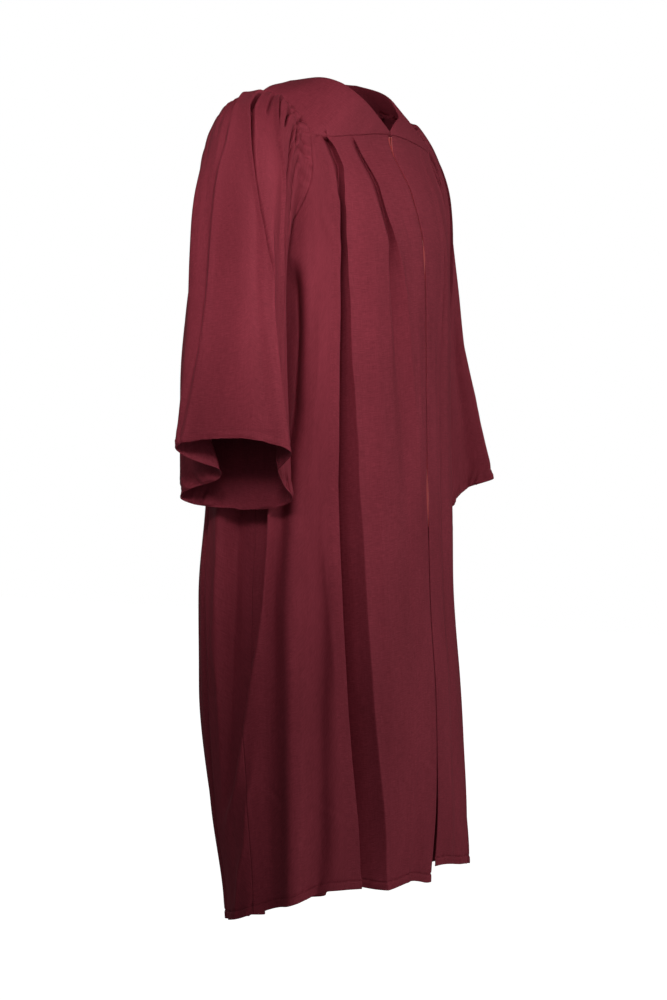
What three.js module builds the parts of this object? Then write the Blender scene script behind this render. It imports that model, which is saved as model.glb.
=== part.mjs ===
// Zip-front choir robe in maroon polyester, hanging in the filled shape it has on a figure.
// Millimetres, +Z up, front towards -Y, the wearer's right towards -X.
// The origin lies between the shoulders, at the level where the yoke rests on them.
import * as THREE from 'three';

// Driving dimensions.
const clothWall = 1.5;
const seamGap = 0.3;
const zipGap = 1.2;
const coilGap = 0.4;
const underarmTurn = 94;
const underarmDrop = 262;
const armholeRound = 1.35;
const yokeFrontTurn = 48.4;
const yokeBackTurn = 135.6;
const flatBelowArmhole = 70;
const fluteStart = 420;
const fluteSpread = 900;

// Grid counts: rows run down a piece, columns run across it.
const panelRows = 16;
const zipRows = 11;
const armholeSteps = 14;
const yokeEdgeSteps = 12;
const frontSeamSteps = 22;
const backSeamSteps = 18;
const yokeSeamSteps = 11;
const yokeRows = 4;
const sleeveRows = 11;
const panelRowSpread = 1.3;
const sleeveRowSpread = 1.15;

// Sections of the body, one row a height: half width, front and back depth, and how square
// the front half and the back half are.
const bodySections = [
  { z: -80, halfWidth: 247, front: -120, back: 112, squareFront: 2.5, squareBack: 2.5 },
  { z: -170, halfWidth: 232, front: -159, back: 132, squareFront: 2.4, squareBack: 2.4 },
  { z: -262, halfWidth: 220, front: -181, back: 146, squareFront: 2.35, squareBack: 2.35 },
  { z: -330, halfWidth: 222, front: -184, back: 152, squareFront: 2.3, squareBack: 2.35 },
  { z: -480, halfWidth: 229, front: -186, back: 159, squareFront: 2.2, squareBack: 2.35 },
  { z: -670, halfWidth: 237, front: -191, back: 169, squareFront: 2.12, squareBack: 2.32 },
  { z: -810, halfWidth: 241, front: -195, back: 182, squareFront: 2.1, squareBack: 2.3 },
  { z: -960, halfWidth: 246, front: -205, back: 179, squareFront: 2.1, squareBack: 2.3 },
  { z: -1140, halfWidth: 262, front: -209, back: 152, squareFront: 2.12, squareBack: 2.25 },
  { z: -1280, halfWidth: 285, front: -203, back: 111, squareFront: 2.2, squareBack: 2.2 },
  { z: -1370, halfWidth: 293, front: -199, back: 98, squareFront: 2.2, squareBack: 2.2 },
];

// Height of the hem against the turn from the centre front; the back hangs lower.
const hemRight = [
  { turn: 0, z: -1273 },
  { turn: 14, z: -1258 },
  { turn: 24, z: -1263 },
  { turn: 38, z: -1251 },
  { turn: 52, z: -1251 },
  { turn: 65, z: -1262 },
  { turn: 85, z: -1278 },
  { turn: 107, z: -1301 },
  { turn: 140, z: -1320 },
  { turn: 180, z: -1346 },
];
const hemLeft = [
  { turn: 0, z: -1247 },
  { turn: 20, z: -1262 },
  { turn: 45, z: -1281 },
  { turn: 80, z: -1296 },
  { turn: 107, z: -1318 },
  { turn: 140, z: -1338 },
  { turn: 180, z: -1346 },
];

// Height of the yoke seams against the turn.
const frontSeam = [
  { turn: 0, z: -75 },
  { turn: 20, z: -83 },
  { turn: 40, z: -89 },
  { turn: yokeFrontTurn, z: -86 },
];
const backSeam = [
  { turn: yokeBackTurn, z: -105 },
  { turn: 158, z: -111 },
  { turn: 180, z: -114 },
];

// Neck edge from the V at the centre front over the shoulder to the centre back. The robe has
// settled a little to one side, so the right and left shoulders have their own heights.
const neckFront = [
  { x: 0, y: -120, right: -69, left: -69 },
  { x: 25, y: -115, right: -49, left: -53 },
  { x: 54, y: -107, right: -26, left: -40 },
  { x: 68, y: -92, right: -9, left: -23 },
  { x: 81, y: -74, right: 5, left: -6 },
  { x: 94, y: -45, right: 13, left: 8 },
  { x: 100, y: 0, right: 9, left: 21 },
];
const neckBack = [
  { x: 100, y: 0, right: 9, left: 21 },
  { x: 92, y: 36, right: 3, left: 25 },
  { x: 66, y: 62, right: 3, left: 22 },
  { x: 34, y: 73, right: 8, left: 18 },
  { x: 0, y: 76, right: 14, left: 14 },
];

// Armhole edge of the yoke, between its corner at the seam and the shoulder tip.
const shoulderTip = { x: 190, y: 0, z: -15 };
const yokeEdgeFront = [
  { x: 191, y: -75, z: -67 },
  { x: 190, y: -57, z: -47 },
  { x: 190, y: -29, z: -27 },
];
const yokeEdgeBack = [
  { x: 189, y: 40, z: -30 },
  { x: 187, y: 76, z: -66 },
];

// Folds of the skirt. Each row gives a height, the turn of the fold line, how far the cloth
// stands out (a valley is negative), and its reach in degrees towards the front and the side.
const rightFolds = {
  outerPleat: [
    { z: -88, turn: 38, out: 0, reachFront: 1.5, reachSide: 4 },
    { z: -112, turn: 38, out: -12, reachFront: 1.6, reachSide: 5 },
    { z: -150, turn: 40.5, out: -19, reachFront: 2, reachSide: 6.5 },
    { z: -215, turn: 46.5, out: -20, reachFront: 2.2, reachSide: 5.5 },
    { z: -342, turn: 48, out: -25, reachFront: 3, reachSide: 4.5 },
    { z: -520, turn: 43.4, out: -24, reachFront: 3.4, reachSide: 4.5 },
    { z: -680, turn: 44.5, out: -22, reachFront: 4.6, reachSide: 5.5 },
    { z: -940, turn: 41, out: -21, reachFront: 5.6, reachSide: 7 },
    { z: -1130, turn: 35.5, out: -19, reachFront: 6, reachSide: 7.5 },
    { z: -1290, turn: 30.5, out: -18, reachFront: 6, reachSide: 8 },
  ],
  innerPleat: [
    { z: -84, turn: 21, out: 0, reachFront: 1.5, reachSide: 3 },
    { z: -108, turn: 21.4, out: -8, reachFront: 1.6, reachSide: 4 },
    { z: -180, turn: 20.8, out: -12, reachFront: 1.6, reachSide: 5 },
    { z: -265, turn: 19.5, out: -12, reachFront: 1.8, reachSide: 5 },
    { z: -377, turn: 16.5, out: -10, reachFront: 5.5, reachSide: 6 },
    { z: -515, turn: 13, out: -10, reachFront: 6.5, reachSide: 7 },
    { z: -790, turn: 11, out: -7, reachFront: 7, reachSide: 7 },
    { z: -950, turn: 11, out: -1, reachFront: 6, reachSide: 6 },
    { z: -1290, turn: 13, out: -5, reachFront: 5, reachSide: 4 },
  ],
  frontRidge: [
    { z: -260, turn: 50, out: 0, reachFront: 6, reachSide: 6 },
    { z: -420, turn: 54, out: 5, reachFront: 5, reachSide: 6 },
    { z: -646, turn: 59, out: 9, reachFront: 7, reachSide: 5 },
    { z: -1000, turn: 61, out: 10, reachFront: 8, reachSide: 5 },
    { z: -1290, turn: 60, out: 10, reachFront: 8, reachSide: 6 },
  ],
  flankValley: [
    { z: -330, turn: 70, out: 0, reachFront: 6, reachSide: 6 },
    { z: -500, turn: 71, out: -12, reachFront: 6, reachSide: 6 },
    { z: -800, turn: 74, out: -16, reachFront: 7, reachSide: 6 },
    { z: -1290, turn: 77, out: -14, reachFront: 8, reachSide: 7 },
  ],
  sideValley: [
    { z: -300, turn: 96, out: 0, reachFront: 6, reachSide: 7 },
    { z: -480, turn: 98, out: -26, reachFront: 6, reachSide: 8 },
    { z: -700, turn: 100, out: -40, reachFront: 7, reachSide: 8 },
    { z: -880, turn: 102, out: -28, reachFront: 7, reachSide: 7 },
    { z: -1080, turn: 106, out: -10, reachFront: 6, reachSide: 6 },
    { z: -1330, turn: 116, out: -6, reachFront: 6, reachSide: 6 },
  ],
};
const leftFolds = {
  outerPleat: [
    { z: -88, turn: 38, out: 0, reachFront: 1.5, reachSide: 4 },
    { z: -112, turn: 37.5, out: -11, reachFront: 1.6, reachSide: 5 },
    { z: -160, turn: 39, out: -17, reachFront: 2, reachSide: 6 },
    { z: -300, turn: 43, out: -19, reachFront: 2.6, reachSide: 5 },
    { z: -560, turn: 45, out: -20, reachFront: 3.6, reachSide: 5 },
    { z: -900, turn: 43, out: -20, reachFront: 5.6, reachSide: 6.5 },
    { z: -1300, turn: 38, out: -18, reachFront: 6.5, reachSide: 8 },
  ],
  innerPleat: [
    { z: -84, turn: 20, out: 0, reachFront: 1.5, reachSide: 3 },
    { z: -110, turn: 20, out: -7, reachFront: 1.6, reachSide: 4 },
    { z: -200, turn: 19.5, out: -10, reachFront: 2, reachSide: 5 },
    { z: -420, turn: 18, out: -9, reachFront: 4.5, reachSide: 6 },
    { z: -800, turn: 16, out: -6, reachFront: 6, reachSide: 7 },
    { z: -1300, turn: 15, out: -4, reachFront: 6, reachSide: 7 },
  ],
  flankValley: [
    { z: -330, turn: 66, out: 0, reachFront: 6, reachSide: 6 },
    { z: -560, turn: 67, out: -14, reachFront: 6, reachSide: 7 },
    { z: -900, turn: 69, out: -17, reachFront: 7, reachSide: 7 },
    { z: -1310, turn: 72, out: -14, reachFront: 8, reachSide: 7 },
  ],
  sideValley: [
    { z: -300, turn: 97, out: 0, reachFront: 6, reachSide: 7 },
    { z: -520, turn: 98, out: -22, reachFront: 6, reachSide: 8 },
    { z: -760, turn: 99, out: -32, reachFront: 7, reachSide: 8 },
    { z: -1000, turn: 101, out: -20, reachFront: 7, reachSide: 7 },
    { z: -1340, turn: 106, out: -10, reachFront: 7, reachSide: 7 },
  ],
};

// Flutes of the back hang from its seam: turn at the seam and at the hem, and how far each
// stands in from the cloth beside it at the hem.
const backFlutes = {
  right: [
    { top: 139, foot: 124, depth: 13 },
    { top: 147, foot: 138, depth: 19 },
    { top: 158, foot: 153, depth: 24 },
    { top: 170, foot: 168, depth: 20 },
  ],
  left: [
    { top: 140, foot: 126, depth: 15 },
    { top: 150, foot: 141, depth: 22 },
    { top: 162, foot: 158, depth: 20 },
    { top: 174, foot: 175, depth: 17 },
  ],
};
const fluteReach = 4.2;

// Rings of a sleeve from the armhole to the hem, one row a ring: how far out and at what height
// its outermost and innermost points are, and how square it is.
const sleeveLine = [
  { at: 0.1, outX: 221, outZ: -17, inX: 229, inZ: -275, square: 2.6 },
  { at: 0.2, outX: 263, outZ: -52, inX: 238, inZ: -295, square: 2.8 },
  { at: 0.32, outX: 298, outZ: -116, inX: 244, inZ: -325, square: 3 },
  { at: 0.45, outX: 316, outZ: -188, inX: 247, inZ: -375, square: 3.1 },
  { at: 0.65, outX: 328, outZ: -310, inX: 248, inZ: -465, square: 3.1 },
  { at: 0.85, outX: 346, outZ: -450, inX: 247, inZ: -575, square: 2.9 },
  { at: 1, outX: 362, outZ: -552, inX: 245, inZ: -665, square: 2.7 },
];

// Front and back depth of the same rings at their outer and inner side, and how deep the tucks
// at their front and back fall in.
const sleeveDepth = [
  { at: 0.1, outFront: -90, outBack: 88, inFront: -84, inBack: 86, tuckFront: 0, tuckBack: 0 },
  { at: 0.2, outFront: -92, outBack: 75, inFront: -84, inBack: 86, tuckFront: 0, tuckBack: 0 },
  { at: 0.32, outFront: -97, outBack: 62, inFront: -86, inBack: 91, tuckFront: 4, tuckBack: 4 },
  { at: 0.45, outFront: -99, outBack: 60, inFront: -90, inBack: 115, tuckFront: 8, tuckBack: 8 },
  { at: 0.65, outFront: -104, outBack: 60, inFront: -96, inBack: 138, tuckFront: 14, tuckBack: 18 },
  { at: 0.85, outFront: -135, outBack: 70, inFront: -102, inBack: 147, tuckFront: 26, tuckBack: 44 },
  { at: 1, outFront: -171, outBack: 82, inFront: -108, inBack: 153, tuckFront: 42, tuckBack: 76 },
];

// The left sleeve hangs lower than the right one and is slimmer, most of all at this share of it.
const leftSleeve = { outerDrop: 72, innerDrop: 32, narrower: 24, slimmestAt: 0.4 };
const tuckReach = 26;

// Gathers at the top of a sleeve: turn round the ring from the shoulder tip towards the front.
const sleeveGathers = [
  { turn: -66, depth: 6 },
  { turn: -50, depth: 8 },
  { turn: -34, depth: 9 },
  { turn: -18, depth: 9 },
  { turn: -2, depth: 8 },
  { turn: 14, depth: 9 },
  { turn: 29, depth: 10 },
  { turn: 43, depth: 9 },
  { turn: 56, depth: 7 },
];
const gatherReach = 5.5;
const gatherStart = 0.06;
const gatherEnd = 0.42;
const yokeDome = 5;

// Middle of an armhole, and how far its seam faces sideways at the underarm.
const armholeMiddle = { y: 3, z: -138 };
const underarmOutward = 0.45;
const yokeSeamLift = 0.6;

// Zip behind the front edges, from just under the V down to the lower third.
const zip = {
  top: -78,
  tapeColumns: 2,
  belowSeam: 0.08,
  tapeThick: 1,
  coilWidth: 5,
  coilThick: 1.8,
  sliderWidth: 8,
  sliderHigh: 11,
  sliderThick: 2.4,
  pullWidth: 4,
  pullHigh: 22,
  pullThick: 1.2,
  sliderBelowTop: 4,
  pullBelowTop: 8,
};

// Colours and finish.
const maroon = new THREE.Color(0x7a2f38);
const zipRed = new THREE.Color(0xa5161f);
const clothLook = { color: maroon, roughness: 0.62, metalness: 0 };
const tapeLook = { color: zipRed, roughness: 0.8, metalness: 0 };
const coilLook = { color: zipRed, roughness: 0.45, metalness: 0 };
const sliderLook = { color: zipRed, roughness: 0.35, metalness: 0.6 };

const radians = Math.PI / 180;
const smooth = (q) => {
  const c = Math.min(1, Math.max(0, q));
  return c * c * (3 - 2 * c);
};
const mix = (a, b, q) => a + (b - a) * q;
const signedPower = (v, p) => Math.sign(v) * Math.abs(v) ** p;

// Reads a table at a value of its first column; the rows between are joined by a smooth cubic.
function readTable(rows, keyName, key) {
  const falling = rows[0][keyName] > rows[rows.length - 1][keyName];
  const order = falling ? -1 : 1;
  const k = key * order;
  let i = 0;
  while (i < rows.length - 2 && k > rows[i + 1][keyName] * order) i += 1;
  const from = rows[i];
  const to = rows[i + 1];
  const span = (to[keyName] - from[keyName]) * order;
  const q = Math.min(1, Math.max(0, (k - from[keyName] * order) / span));
  const before = rows[Math.max(0, i - 1)];
  const after = rows[Math.min(rows.length - 1, i + 2)];
  const row = {};
  for (const name of Object.keys(from)) {
    const leave = slopeAt(before, from, to, keyName, name, order);
    const arrive = slopeAt(from, to, after, keyName, name, order);
    row[name] = hermite(from[name], to[name], leave * span, arrive * span, q);
  }
  return row;
}

// Slope of a column at a middle row, limited so that the cubic never overshoots its rows.
function slopeAt(a, b, c, keyName, name, order) {
  const left = (b[keyName] - a[keyName]) * order;
  const right = (c[keyName] - b[keyName]) * order;
  if (left <= 0 || right <= 0) return 0;
  const s0 = (b[name] - a[name]) / left;
  const s1 = (c[name] - b[name]) / right;
  if (s0 * s1 <= 0) return 0;
  return (2 * s0 * s1) / (s0 + s1);
}

function hermite(p0, p1, m0, m1, q) {
  const q2 = q * q;
  const q3 = q2 * q;
  return (2 * q3 - 3 * q2 + 1) * p0 + (q3 - 2 * q2 + q) * m0 + (3 * q2 - 2 * q3) * p1 + (q3 - q2) * m1;
}

// A smooth hump of height 1 at 0, falling to nothing at about twice its reach.
const hump = (q) => Math.exp(-q * q);

// Body surface without folds, for side = 1 (the wearer's left) or -1 (right).
// The section is a superellipse, with the turn counted from the centre front in degrees.
function sectionPoint(turn, z, side) {
  const s = readTable(bodySections, 'z', z);
  const middle = (s.front + s.back) / 2;
  const reach = (s.back - s.front) / 2;
  const power = 2 / (Math.abs(turn) < 90 ? s.squareFront : s.squareBack);
  const x = side * s.halfWidth * signedPower(Math.sin(turn * radians), power);
  const y = middle - reach * signedPower(Math.cos(turn * radians), power);
  return new THREE.Vector3(x, y, z);
}

// Level direction that points straight out of the section.
function sectionNormal(turn, z, side) {
  const step = 0.5;
  const a = sectionPoint(turn - step, z, side);
  const b = sectionPoint(turn + step, z, side);
  const along = b.sub(a);
  return new THREE.Vector3(along.y * side, -along.x * side, 0).normalize();
}

const foldsOf = (side) => (side < 0 ? rightFolds : leftFolds);
const flutesOf = (side) => (side < 0 ? backFlutes.right : backFlutes.left);

// The flutes spread from their turns at the back seam to those at the hem as they fall.
const backSpread = (z) => smooth((backSeam.at(-1).z - z) / fluteSpread);

// How far the folds push the cloth out at one place.
function foldOut(turn, z, side) {
  let out = 0;
  for (const rows of Object.values(foldsOf(side))) {
    const f = readTable(rows, 'z', z);
    const away = turn - f.turn;
    out += f.out * hump(away / (away < 0 ? f.reachFront : f.reachSide));
  }
  const grown = smooth((backSeam.at(-1).z - z) / fluteStart);
  for (const flute of flutesOf(side)) {
    const line = mix(flute.top, flute.foot, backSpread(z));
    out -= flute.depth * grown * hump((turn - line) / fluteReach);
  }
  return out;
}

// Height of the armhole line above a turn; past its ends a yoke seam is the top.
function armholeHeight(turn) {
  const front = turn < underarmTurn;
  const corner = front ? yokeFrontTurn : yokeBackTurn;
  const cornerZ = front ? frontSeam.at(-1).z : backSeam[0].z;
  const across = (turn - corner) / (underarmTurn - corner);
  if (across <= 0) return 0;
  const rest = Math.max(0, 1 - across) ** armholeRound;
  return mix(cornerZ, -underarmDrop, (1 - rest) ** (1 / armholeRound));
}

// Body surface with its folds, which the sleeve's seam holds flat beside the armhole.
function bodyPoint(turn, z, side) {
  const free = smooth((armholeHeight(turn) - z) / flatBelowArmhole);
  const normal = sectionNormal(turn, z, side);
  return sectionPoint(turn, z, side).addScaledVector(normal, foldOut(turn, z, side) * free);
}

// Armhole line on the body: a rounded corner between a corner of the yoke and the underarm.
function armholeAt(front, q) {
  const p = 2 / armholeRound;
  const a = (q * Math.PI) / 2;
  const cornerTurn = front ? yokeFrontTurn : yokeBackTurn;
  const cornerZ = front ? frontSeam.at(-1).z : backSeam[0].z;
  const turn = mix(underarmTurn, cornerTurn, Math.cos(a) ** p);
  const z = mix(cornerZ, -underarmDrop, Math.sin(a) ** p);
  return { turn, z };
}

const hemHeight = (turn, side) => readTable(side < 0 ? hemRight : hemLeft, 'turn', turn).z;
const vector = (p, side) => new THREE.Vector3(p.x * side, p.y, p.z);
const neckVector = (p, side) => new THREE.Vector3(p.x * side, p.y, side < 0 ? p.right : p.left);

// Armhole loop of one side: points from the shoulder tip down the front, through the underarm
// and up the back, with the direction that the seam faces at each.
function armholeLoop(side) {
  const tip = vector(shoulderTip, side);
  const corner = sectionPoint(yokeFrontTurn, frontSeam.at(-1).z, side);
  const cornerBack = sectionPoint(yokeBackTurn, backSeam[0].z, side);
  const frontEdge = new THREE.CatmullRomCurve3(
    [tip, ...yokeEdgeFront.map((p) => vector(p, side)).reverse(), corner]);
  const backEdge = new THREE.CatmullRomCurve3(
    [cornerBack, ...yokeEdgeBack.map((p) => vector(p, side)).reverse(), tip]);
  const points = frontEdge.getSpacedPoints(yokeEdgeSteps);
  for (let i = 1; i <= armholeSteps; i += 1) {
    const at = armholeAt(true, i / armholeSteps);
    points.push(sectionPoint(at.turn, at.z, side));
  }
  for (let i = armholeSteps - 1; i >= 0; i -= 1) {
    const at = armholeAt(false, i / armholeSteps);
    points.push(sectionPoint(at.turn, at.z, side));
  }
  points.push(...backEdge.getSpacedPoints(yokeEdgeSteps).slice(1, -1));
  return points.map((point) => ({ point, facing: seamFacing(point, side) }));
}

// At the top the seam faces mostly up and a little outwards, at the underarm mostly outwards.
function seamFacing(point, side) {
  const { y, z } = armholeMiddle;
  const round = new THREE.Vector3(0, point.y - y, point.z - z).normalize();
  const outward = mix(1, underarmOutward, smooth((round.z + 1) / 1.6));
  return round.setX(side * outward).normalize();
}

const loops = { [-1]: armholeLoop(-1), [1]: armholeLoop(1) };
const frontCornerIndex = yokeEdgeSteps;
const underarmIndex = yokeEdgeSteps + armholeSteps;
const backCornerIndex = underarmIndex + armholeSteps;

// Seam between yoke and body from the centre to the corner, with the direction it faces.
function yokeSeam(front, side) {
  const rows = front ? frontSeam : backSeam.slice().reverse();
  const corner = loops[side][front ? frontCornerIndex : backCornerIndex];
  return Array.from({ length: yokeSeamSteps + 1 }, (_, i) => {
    const turn = mix(rows[0].turn, rows.at(-1).turn, i / yokeSeamSteps);
    const point = sectionPoint(turn, readTable(rows, 'turn', turn).z, side);
    const facing = sectionNormal(turn, point.z, side).setZ(yokeSeamLift).normalize();
    facing.lerp(corner.facing, smooth(1 - (yokeSeamSteps - i) / 3)).normalize();
    return { point, facing };
  });
}

// Place on the straight chords between the places of a seam.
function onChords(places, q) {
  const along = q * (places.length - 1);
  const i = Math.min(places.length - 2, Math.floor(along));
  const rest = along - i;
  return {
    point: places[i].point.clone().lerp(places[i + 1].point, rest),
    facing: places[i].facing.clone().lerp(places[i + 1].facing, rest).normalize(),
  };
}

// Lines that the columns of a panel follow down the body, as shares of its width and turns.
function guideLines(front, z, side) {
  if (front) {
    const folds = foldsOf(side);
    return [
      { share: 0, turn: 0 },
      { share: 0.43, turn: readTable(folds.innerPleat, 'z', z).turn },
      { share: 0.8, turn: readTable(folds.outerPleat, 'z', z).turn },
      { share: 2, turn: underarmTurn },
    ];
  }
  const lines = flutesOf(side).map((flute) => ({
    share: (180 - flute.top) / (180 - yokeBackTurn),
    turn: mix(flute.top, flute.foot, backSpread(z)),
  }));
  return [{ share: 0, turn: 180 }, ...lines.reverse(), { share: 2, turn: underarmTurn }];
}

function between(lines, from, to, value) {
  let i = 0;
  while (i < lines.length - 2 && (value - lines[i + 1][from]) * (lines.at(-1)[from] - lines[0][from]) > 0) {
    i += 1;
  }
  const q = (value - lines[i][from]) / (lines[i + 1][from] - lines[i][from]);
  return mix(lines[i][to], lines[i + 1][to], q);
}

// A front panel or half of the back: its columns start on the yoke seam or on the armhole and
// follow the pleats or flutes down to the hem.
function bodyHalf(front, side) {
  const seam = yokeSeam(front, side);
  const seamSteps = front ? frontSeamSteps : backSeamSteps;
  const rows = front ? frontSeam : backSeam.slice().reverse();
  const cornerIndex = front ? frontCornerIndex : backCornerIndex;
  const tops = [];
  for (let j = 0; j <= seamSteps; j += 1) {
    const turn = mix(rows[0].turn, rows.at(-1).turn, j / seamSteps);
    const z = readTable(rows, 'turn', turn).z;
    tops.push({ ...onChords(seam, j / seamSteps), turn, z });
  }
  for (let i = 1; i <= armholeSteps; i += 1) {
    const loop = loops[side][front ? cornerIndex + i : cornerIndex - i];
    const at = armholeAt(front, i / armholeSteps);
    tops.push({ point: loop.point.clone(), facing: loop.facing, turn: at.turn, z: at.z });
  }
  const columns = tops.map((top) => {
    const share = between(guideLines(front, top.z, side), 'turn', 'share', top.turn);
    const foot = between(guideLines(front, hemRight.at(-1).z, side), 'share', 'turn', share);
    return { ...top, share, hem: hemHeight(foot, side) };
  });
  return Array.from({ length: panelRows + 1 }, (_, i) => columns.map((column, j) => {
    if (i === 0) return { point: column.point.clone(), facing: column.facing };
    const z = mix(column.z, column.hem, (i / panelRows) ** panelRowSpread);
    const turn = between(guideLines(front, z, side), 'share', 'turn', column.share);
    const place = { point: bodyPoint(turn, z, side) };
    if (j === columns.length - 1) place.facing = sectionNormal(turn, z, side);
    if (j === 0) place.facing = new THREE.Vector3(0, front ? -1 : 1, 0);
    return place;
  }));
}

// Gives every other place of a grid the direction found from its neighbours.
function fillFacings(grid, closed, flip) {
  const columns = grid[0].length;
  const pick = (j) => (closed ? (j + columns) % columns : Math.min(columns - 1, Math.max(0, j)));
  const found = grid.map((row, i) => row.map((place, j) => {
    const up = grid[Math.max(0, i - 1)][j].point;
    const down = grid[Math.min(grid.length - 1, i + 1)][j].point;
    const across = row[pick(j + 1)].point.clone().sub(row[pick(j - 1)].point);
    return place.facing ?? across.cross(down.clone().sub(up)).normalize().multiplyScalar(flip);
  }));
  grid.forEach((row, i) => row.forEach((place, j) => {
    place.facing = found[i][j];
  }));
}

// Moves an edge of a grid a little way back into the piece, to leave the seam's gap.
function drawBack(edge, next, distance) {
  const moved = edge.map((place, i) => {
    const inward = next[i].point.clone().sub(place.point);
    inward.addScaledVector(place.facing, -inward.dot(place.facing)).normalize();
    return place.point.clone().addScaledVector(inward, distance);
  });
  moved.forEach((point, i) => edge[i].point.copy(point));
}

const topOf = (grid) => [grid[0], grid[1]];
const bottomOf = (grid) => [grid.at(-1), grid.at(-2)];
const startOf = (grid) => [grid.map((row) => row[0]), grid.map((row) => row[1])];
const endOf = (grid) => [grid.map((row) => row.at(-1)), grid.map((row) => row.at(-2))];

// Closed wall from a grid: its outer face, the same face set back by the wall, and the rims.
function wallGeometry(grid, closed, flip, thick = clothWall) {
  const rows = grid.length;
  const columns = grid[0].length;
  const positions = [];
  const push = (p) => positions.push(p.x, p.y, p.z);
  grid.flat().forEach((place) => push(place.point));
  grid.flat().forEach((place) => push(place.point.clone().addScaledVector(place.facing, -thick)));
  const faces = [];
  const quad = (a, b, c, d) => {
    faces.push(...(flip > 0 ? [a, b, c, a, c, d] : [a, c, b, a, d, c]));
  };
  const outer = (i, j) => i * columns + (j % columns);
  const inner = (i, j) => rows * columns + outer(i, j);
  const across = closed ? columns : columns - 1;
  const last = rows - 1;
  const end = columns - 1;
  for (let i = 0; i < last; i += 1) {
    for (let j = 0; j < across; j += 1) {
      quad(outer(i, j), outer(i, j + 1), outer(i + 1, j + 1), outer(i + 1, j));
      quad(inner(i, j), inner(i + 1, j), inner(i + 1, j + 1), inner(i, j + 1));
    }
    if (!closed) {
      quad(inner(i, 0), outer(i, 0), outer(i + 1, 0), inner(i + 1, 0));
      quad(outer(i, end), inner(i, end), inner(i + 1, end), outer(i + 1, end));
    }
  }
  for (let j = 0; j < across; j += 1) {
    quad(inner(0, j), inner(0, j + 1), outer(0, j + 1), outer(0, j));
    quad(outer(last, j), outer(last, j + 1), inner(last, j + 1), inner(last, j));
  }
  const geometry = new THREE.BufferGeometry();
  geometry.setAttribute('position', new THREE.Float32BufferAttribute(positions, 3));
  geometry.setIndex(faces);
  return geometry;
}

const robe = new THREE.Group();
function addPiece(name, geometry, look) {
  geometry.computeVertexNormals();
  const piece = new THREE.Mesh(geometry, new THREE.MeshStandardMaterial(look));
  piece.name = name;
  robe.add(piece);
}

// Half of the zip's tape, set in behind the front edge; its top row starts below the seam.
function tapeBehind(grid) {
  const rows = grid.slice(0, zipRows + 1).map((row) => row.slice(0, zip.tapeColumns + 1));
  return rows.map((row, i) => row.map((place, j) => {
    const point = i > 0 ? place.point.clone() : place.point.clone().lerp(rows[1][j].point, zip.belowSeam);
    const facing = i > 0 ? place.facing : rows[1][j].facing;
    return { point: point.addScaledVector(facing, -tapeDepth), facing };
  }));
}

// Front panels, each with its half of the zip's tape.
const tapeDepth = clothWall + seamGap;
const centreLine = [];
for (const [word, side] of [['right', -1], ['left', 1]]) {
  const grid = bodyHalf(true, side);
  fillFacings(grid, false, -side);
  if (side < 0) grid.forEach((row) => centreLine.push(row[0].point.clone()));
  const tape = tapeBehind(grid);
  drawBack(...startOf(tape), seamGap / 2);
  addPiece(`zip_tape_${word}`, wallGeometry(tape, false, -side, zip.tapeThick), tapeLook);
  drawBack(...topOf(grid), seamGap / 2);
  drawBack(...endOf(grid), seamGap / 2);
  drawBack(...startOf(grid), zipGap / 2);
  addPiece(`front_${word}`, wallGeometry(grid, false, -side), clothLook);
}

// Back panel, one piece from side seam to side seam.
const backLeft = bodyHalf(false, 1);
const back = bodyHalf(false, -1).map((row, i) => [...row.reverse(), ...backLeft[i].slice(1)]);
fillFacings(back, false, 1);
drawBack(...topOf(back), seamGap / 2);
drawBack(...startOf(back), seamGap / 2);
drawBack(...endOf(back), seamGap / 2);
addPiece('back', wallGeometry(back, false, 1), clothLook);

// Strip of the yoke: a straight line from the neck edge to the seam, a little domed.
function yokeStrip(neckPoint, place, endFacing) {
  return Array.from({ length: yokeRows + 1 }, (_, i) => {
    const q = i / yokeRows;
    const point = neckPoint.clone().lerp(place.point, q);
    const dome = endFacing ? 0 : yokeDome * Math.sin(q * Math.PI) * (point.x / shoulderTip.x) ** 2;
    point.z += dome;
    if (endFacing) return { point, facing: endFacing.clone().lerp(place.facing, q ** 3).normalize() };
    return i === yokeRows ? { point, facing: place.facing } : { point };
  });
}

const transpose = (strips) => strips[0].map((_, i) => strips.map((strip) => strip[i]));
const upright = new THREE.Vector3(0, 0, 1);
const forwards = new THREE.Vector3(0, -1, 0.3).normalize();

// Strips of one side of the yoke, from the centre line to the shoulder.
function yokeStrips(front, side) {
  const neckRows = front ? neckFront : neckBack.slice().reverse();
  const neck = new THREE.CatmullRomCurve3(neckRows.map((p) => neckVector(p, side)));
  const loop = loops[side];
  const edge = front
    ? loop.slice(0, frontCornerIndex).reverse()
    : [...loop.slice(backCornerIndex + 1), loop[0]];
  const places = [...yokeSeam(front, side), ...edge];
  const last = places.length - 1;
  return places.map((place, j) => {
    const endFacing = j === last ? upright : null;
    return yokeStrip(neck.getPointAt(j / last), place, front && j === 0 ? forwards : endFacing);
  });
}

for (const [word, side] of [['right', -1], ['left', 1]]) {
  const grid = transpose(yokeStrips(true, side));
  fillFacings(grid, false, -side);
  drawBack(...bottomOf(grid), seamGap / 2);
  drawBack(...endOf(grid), seamGap / 2);
  drawBack(...startOf(grid), zipGap / 2);
  addPiece(`yoke_front_${word}`, wallGeometry(grid, false, -side), clothLook);
}

const yokeBack = transpose([...yokeStrips(false, -1).reverse(), ...yokeStrips(false, 1).slice(1)]);
fillFacings(yokeBack, false, 1);
drawBack(...bottomOf(yokeBack), seamGap / 2);
drawBack(...startOf(yokeBack), seamGap / 2);
drawBack(...endOf(yokeBack), seamGap / 2);
addPiece('yoke_back', wallGeometry(yokeBack, false, 1), clothLook);

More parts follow.
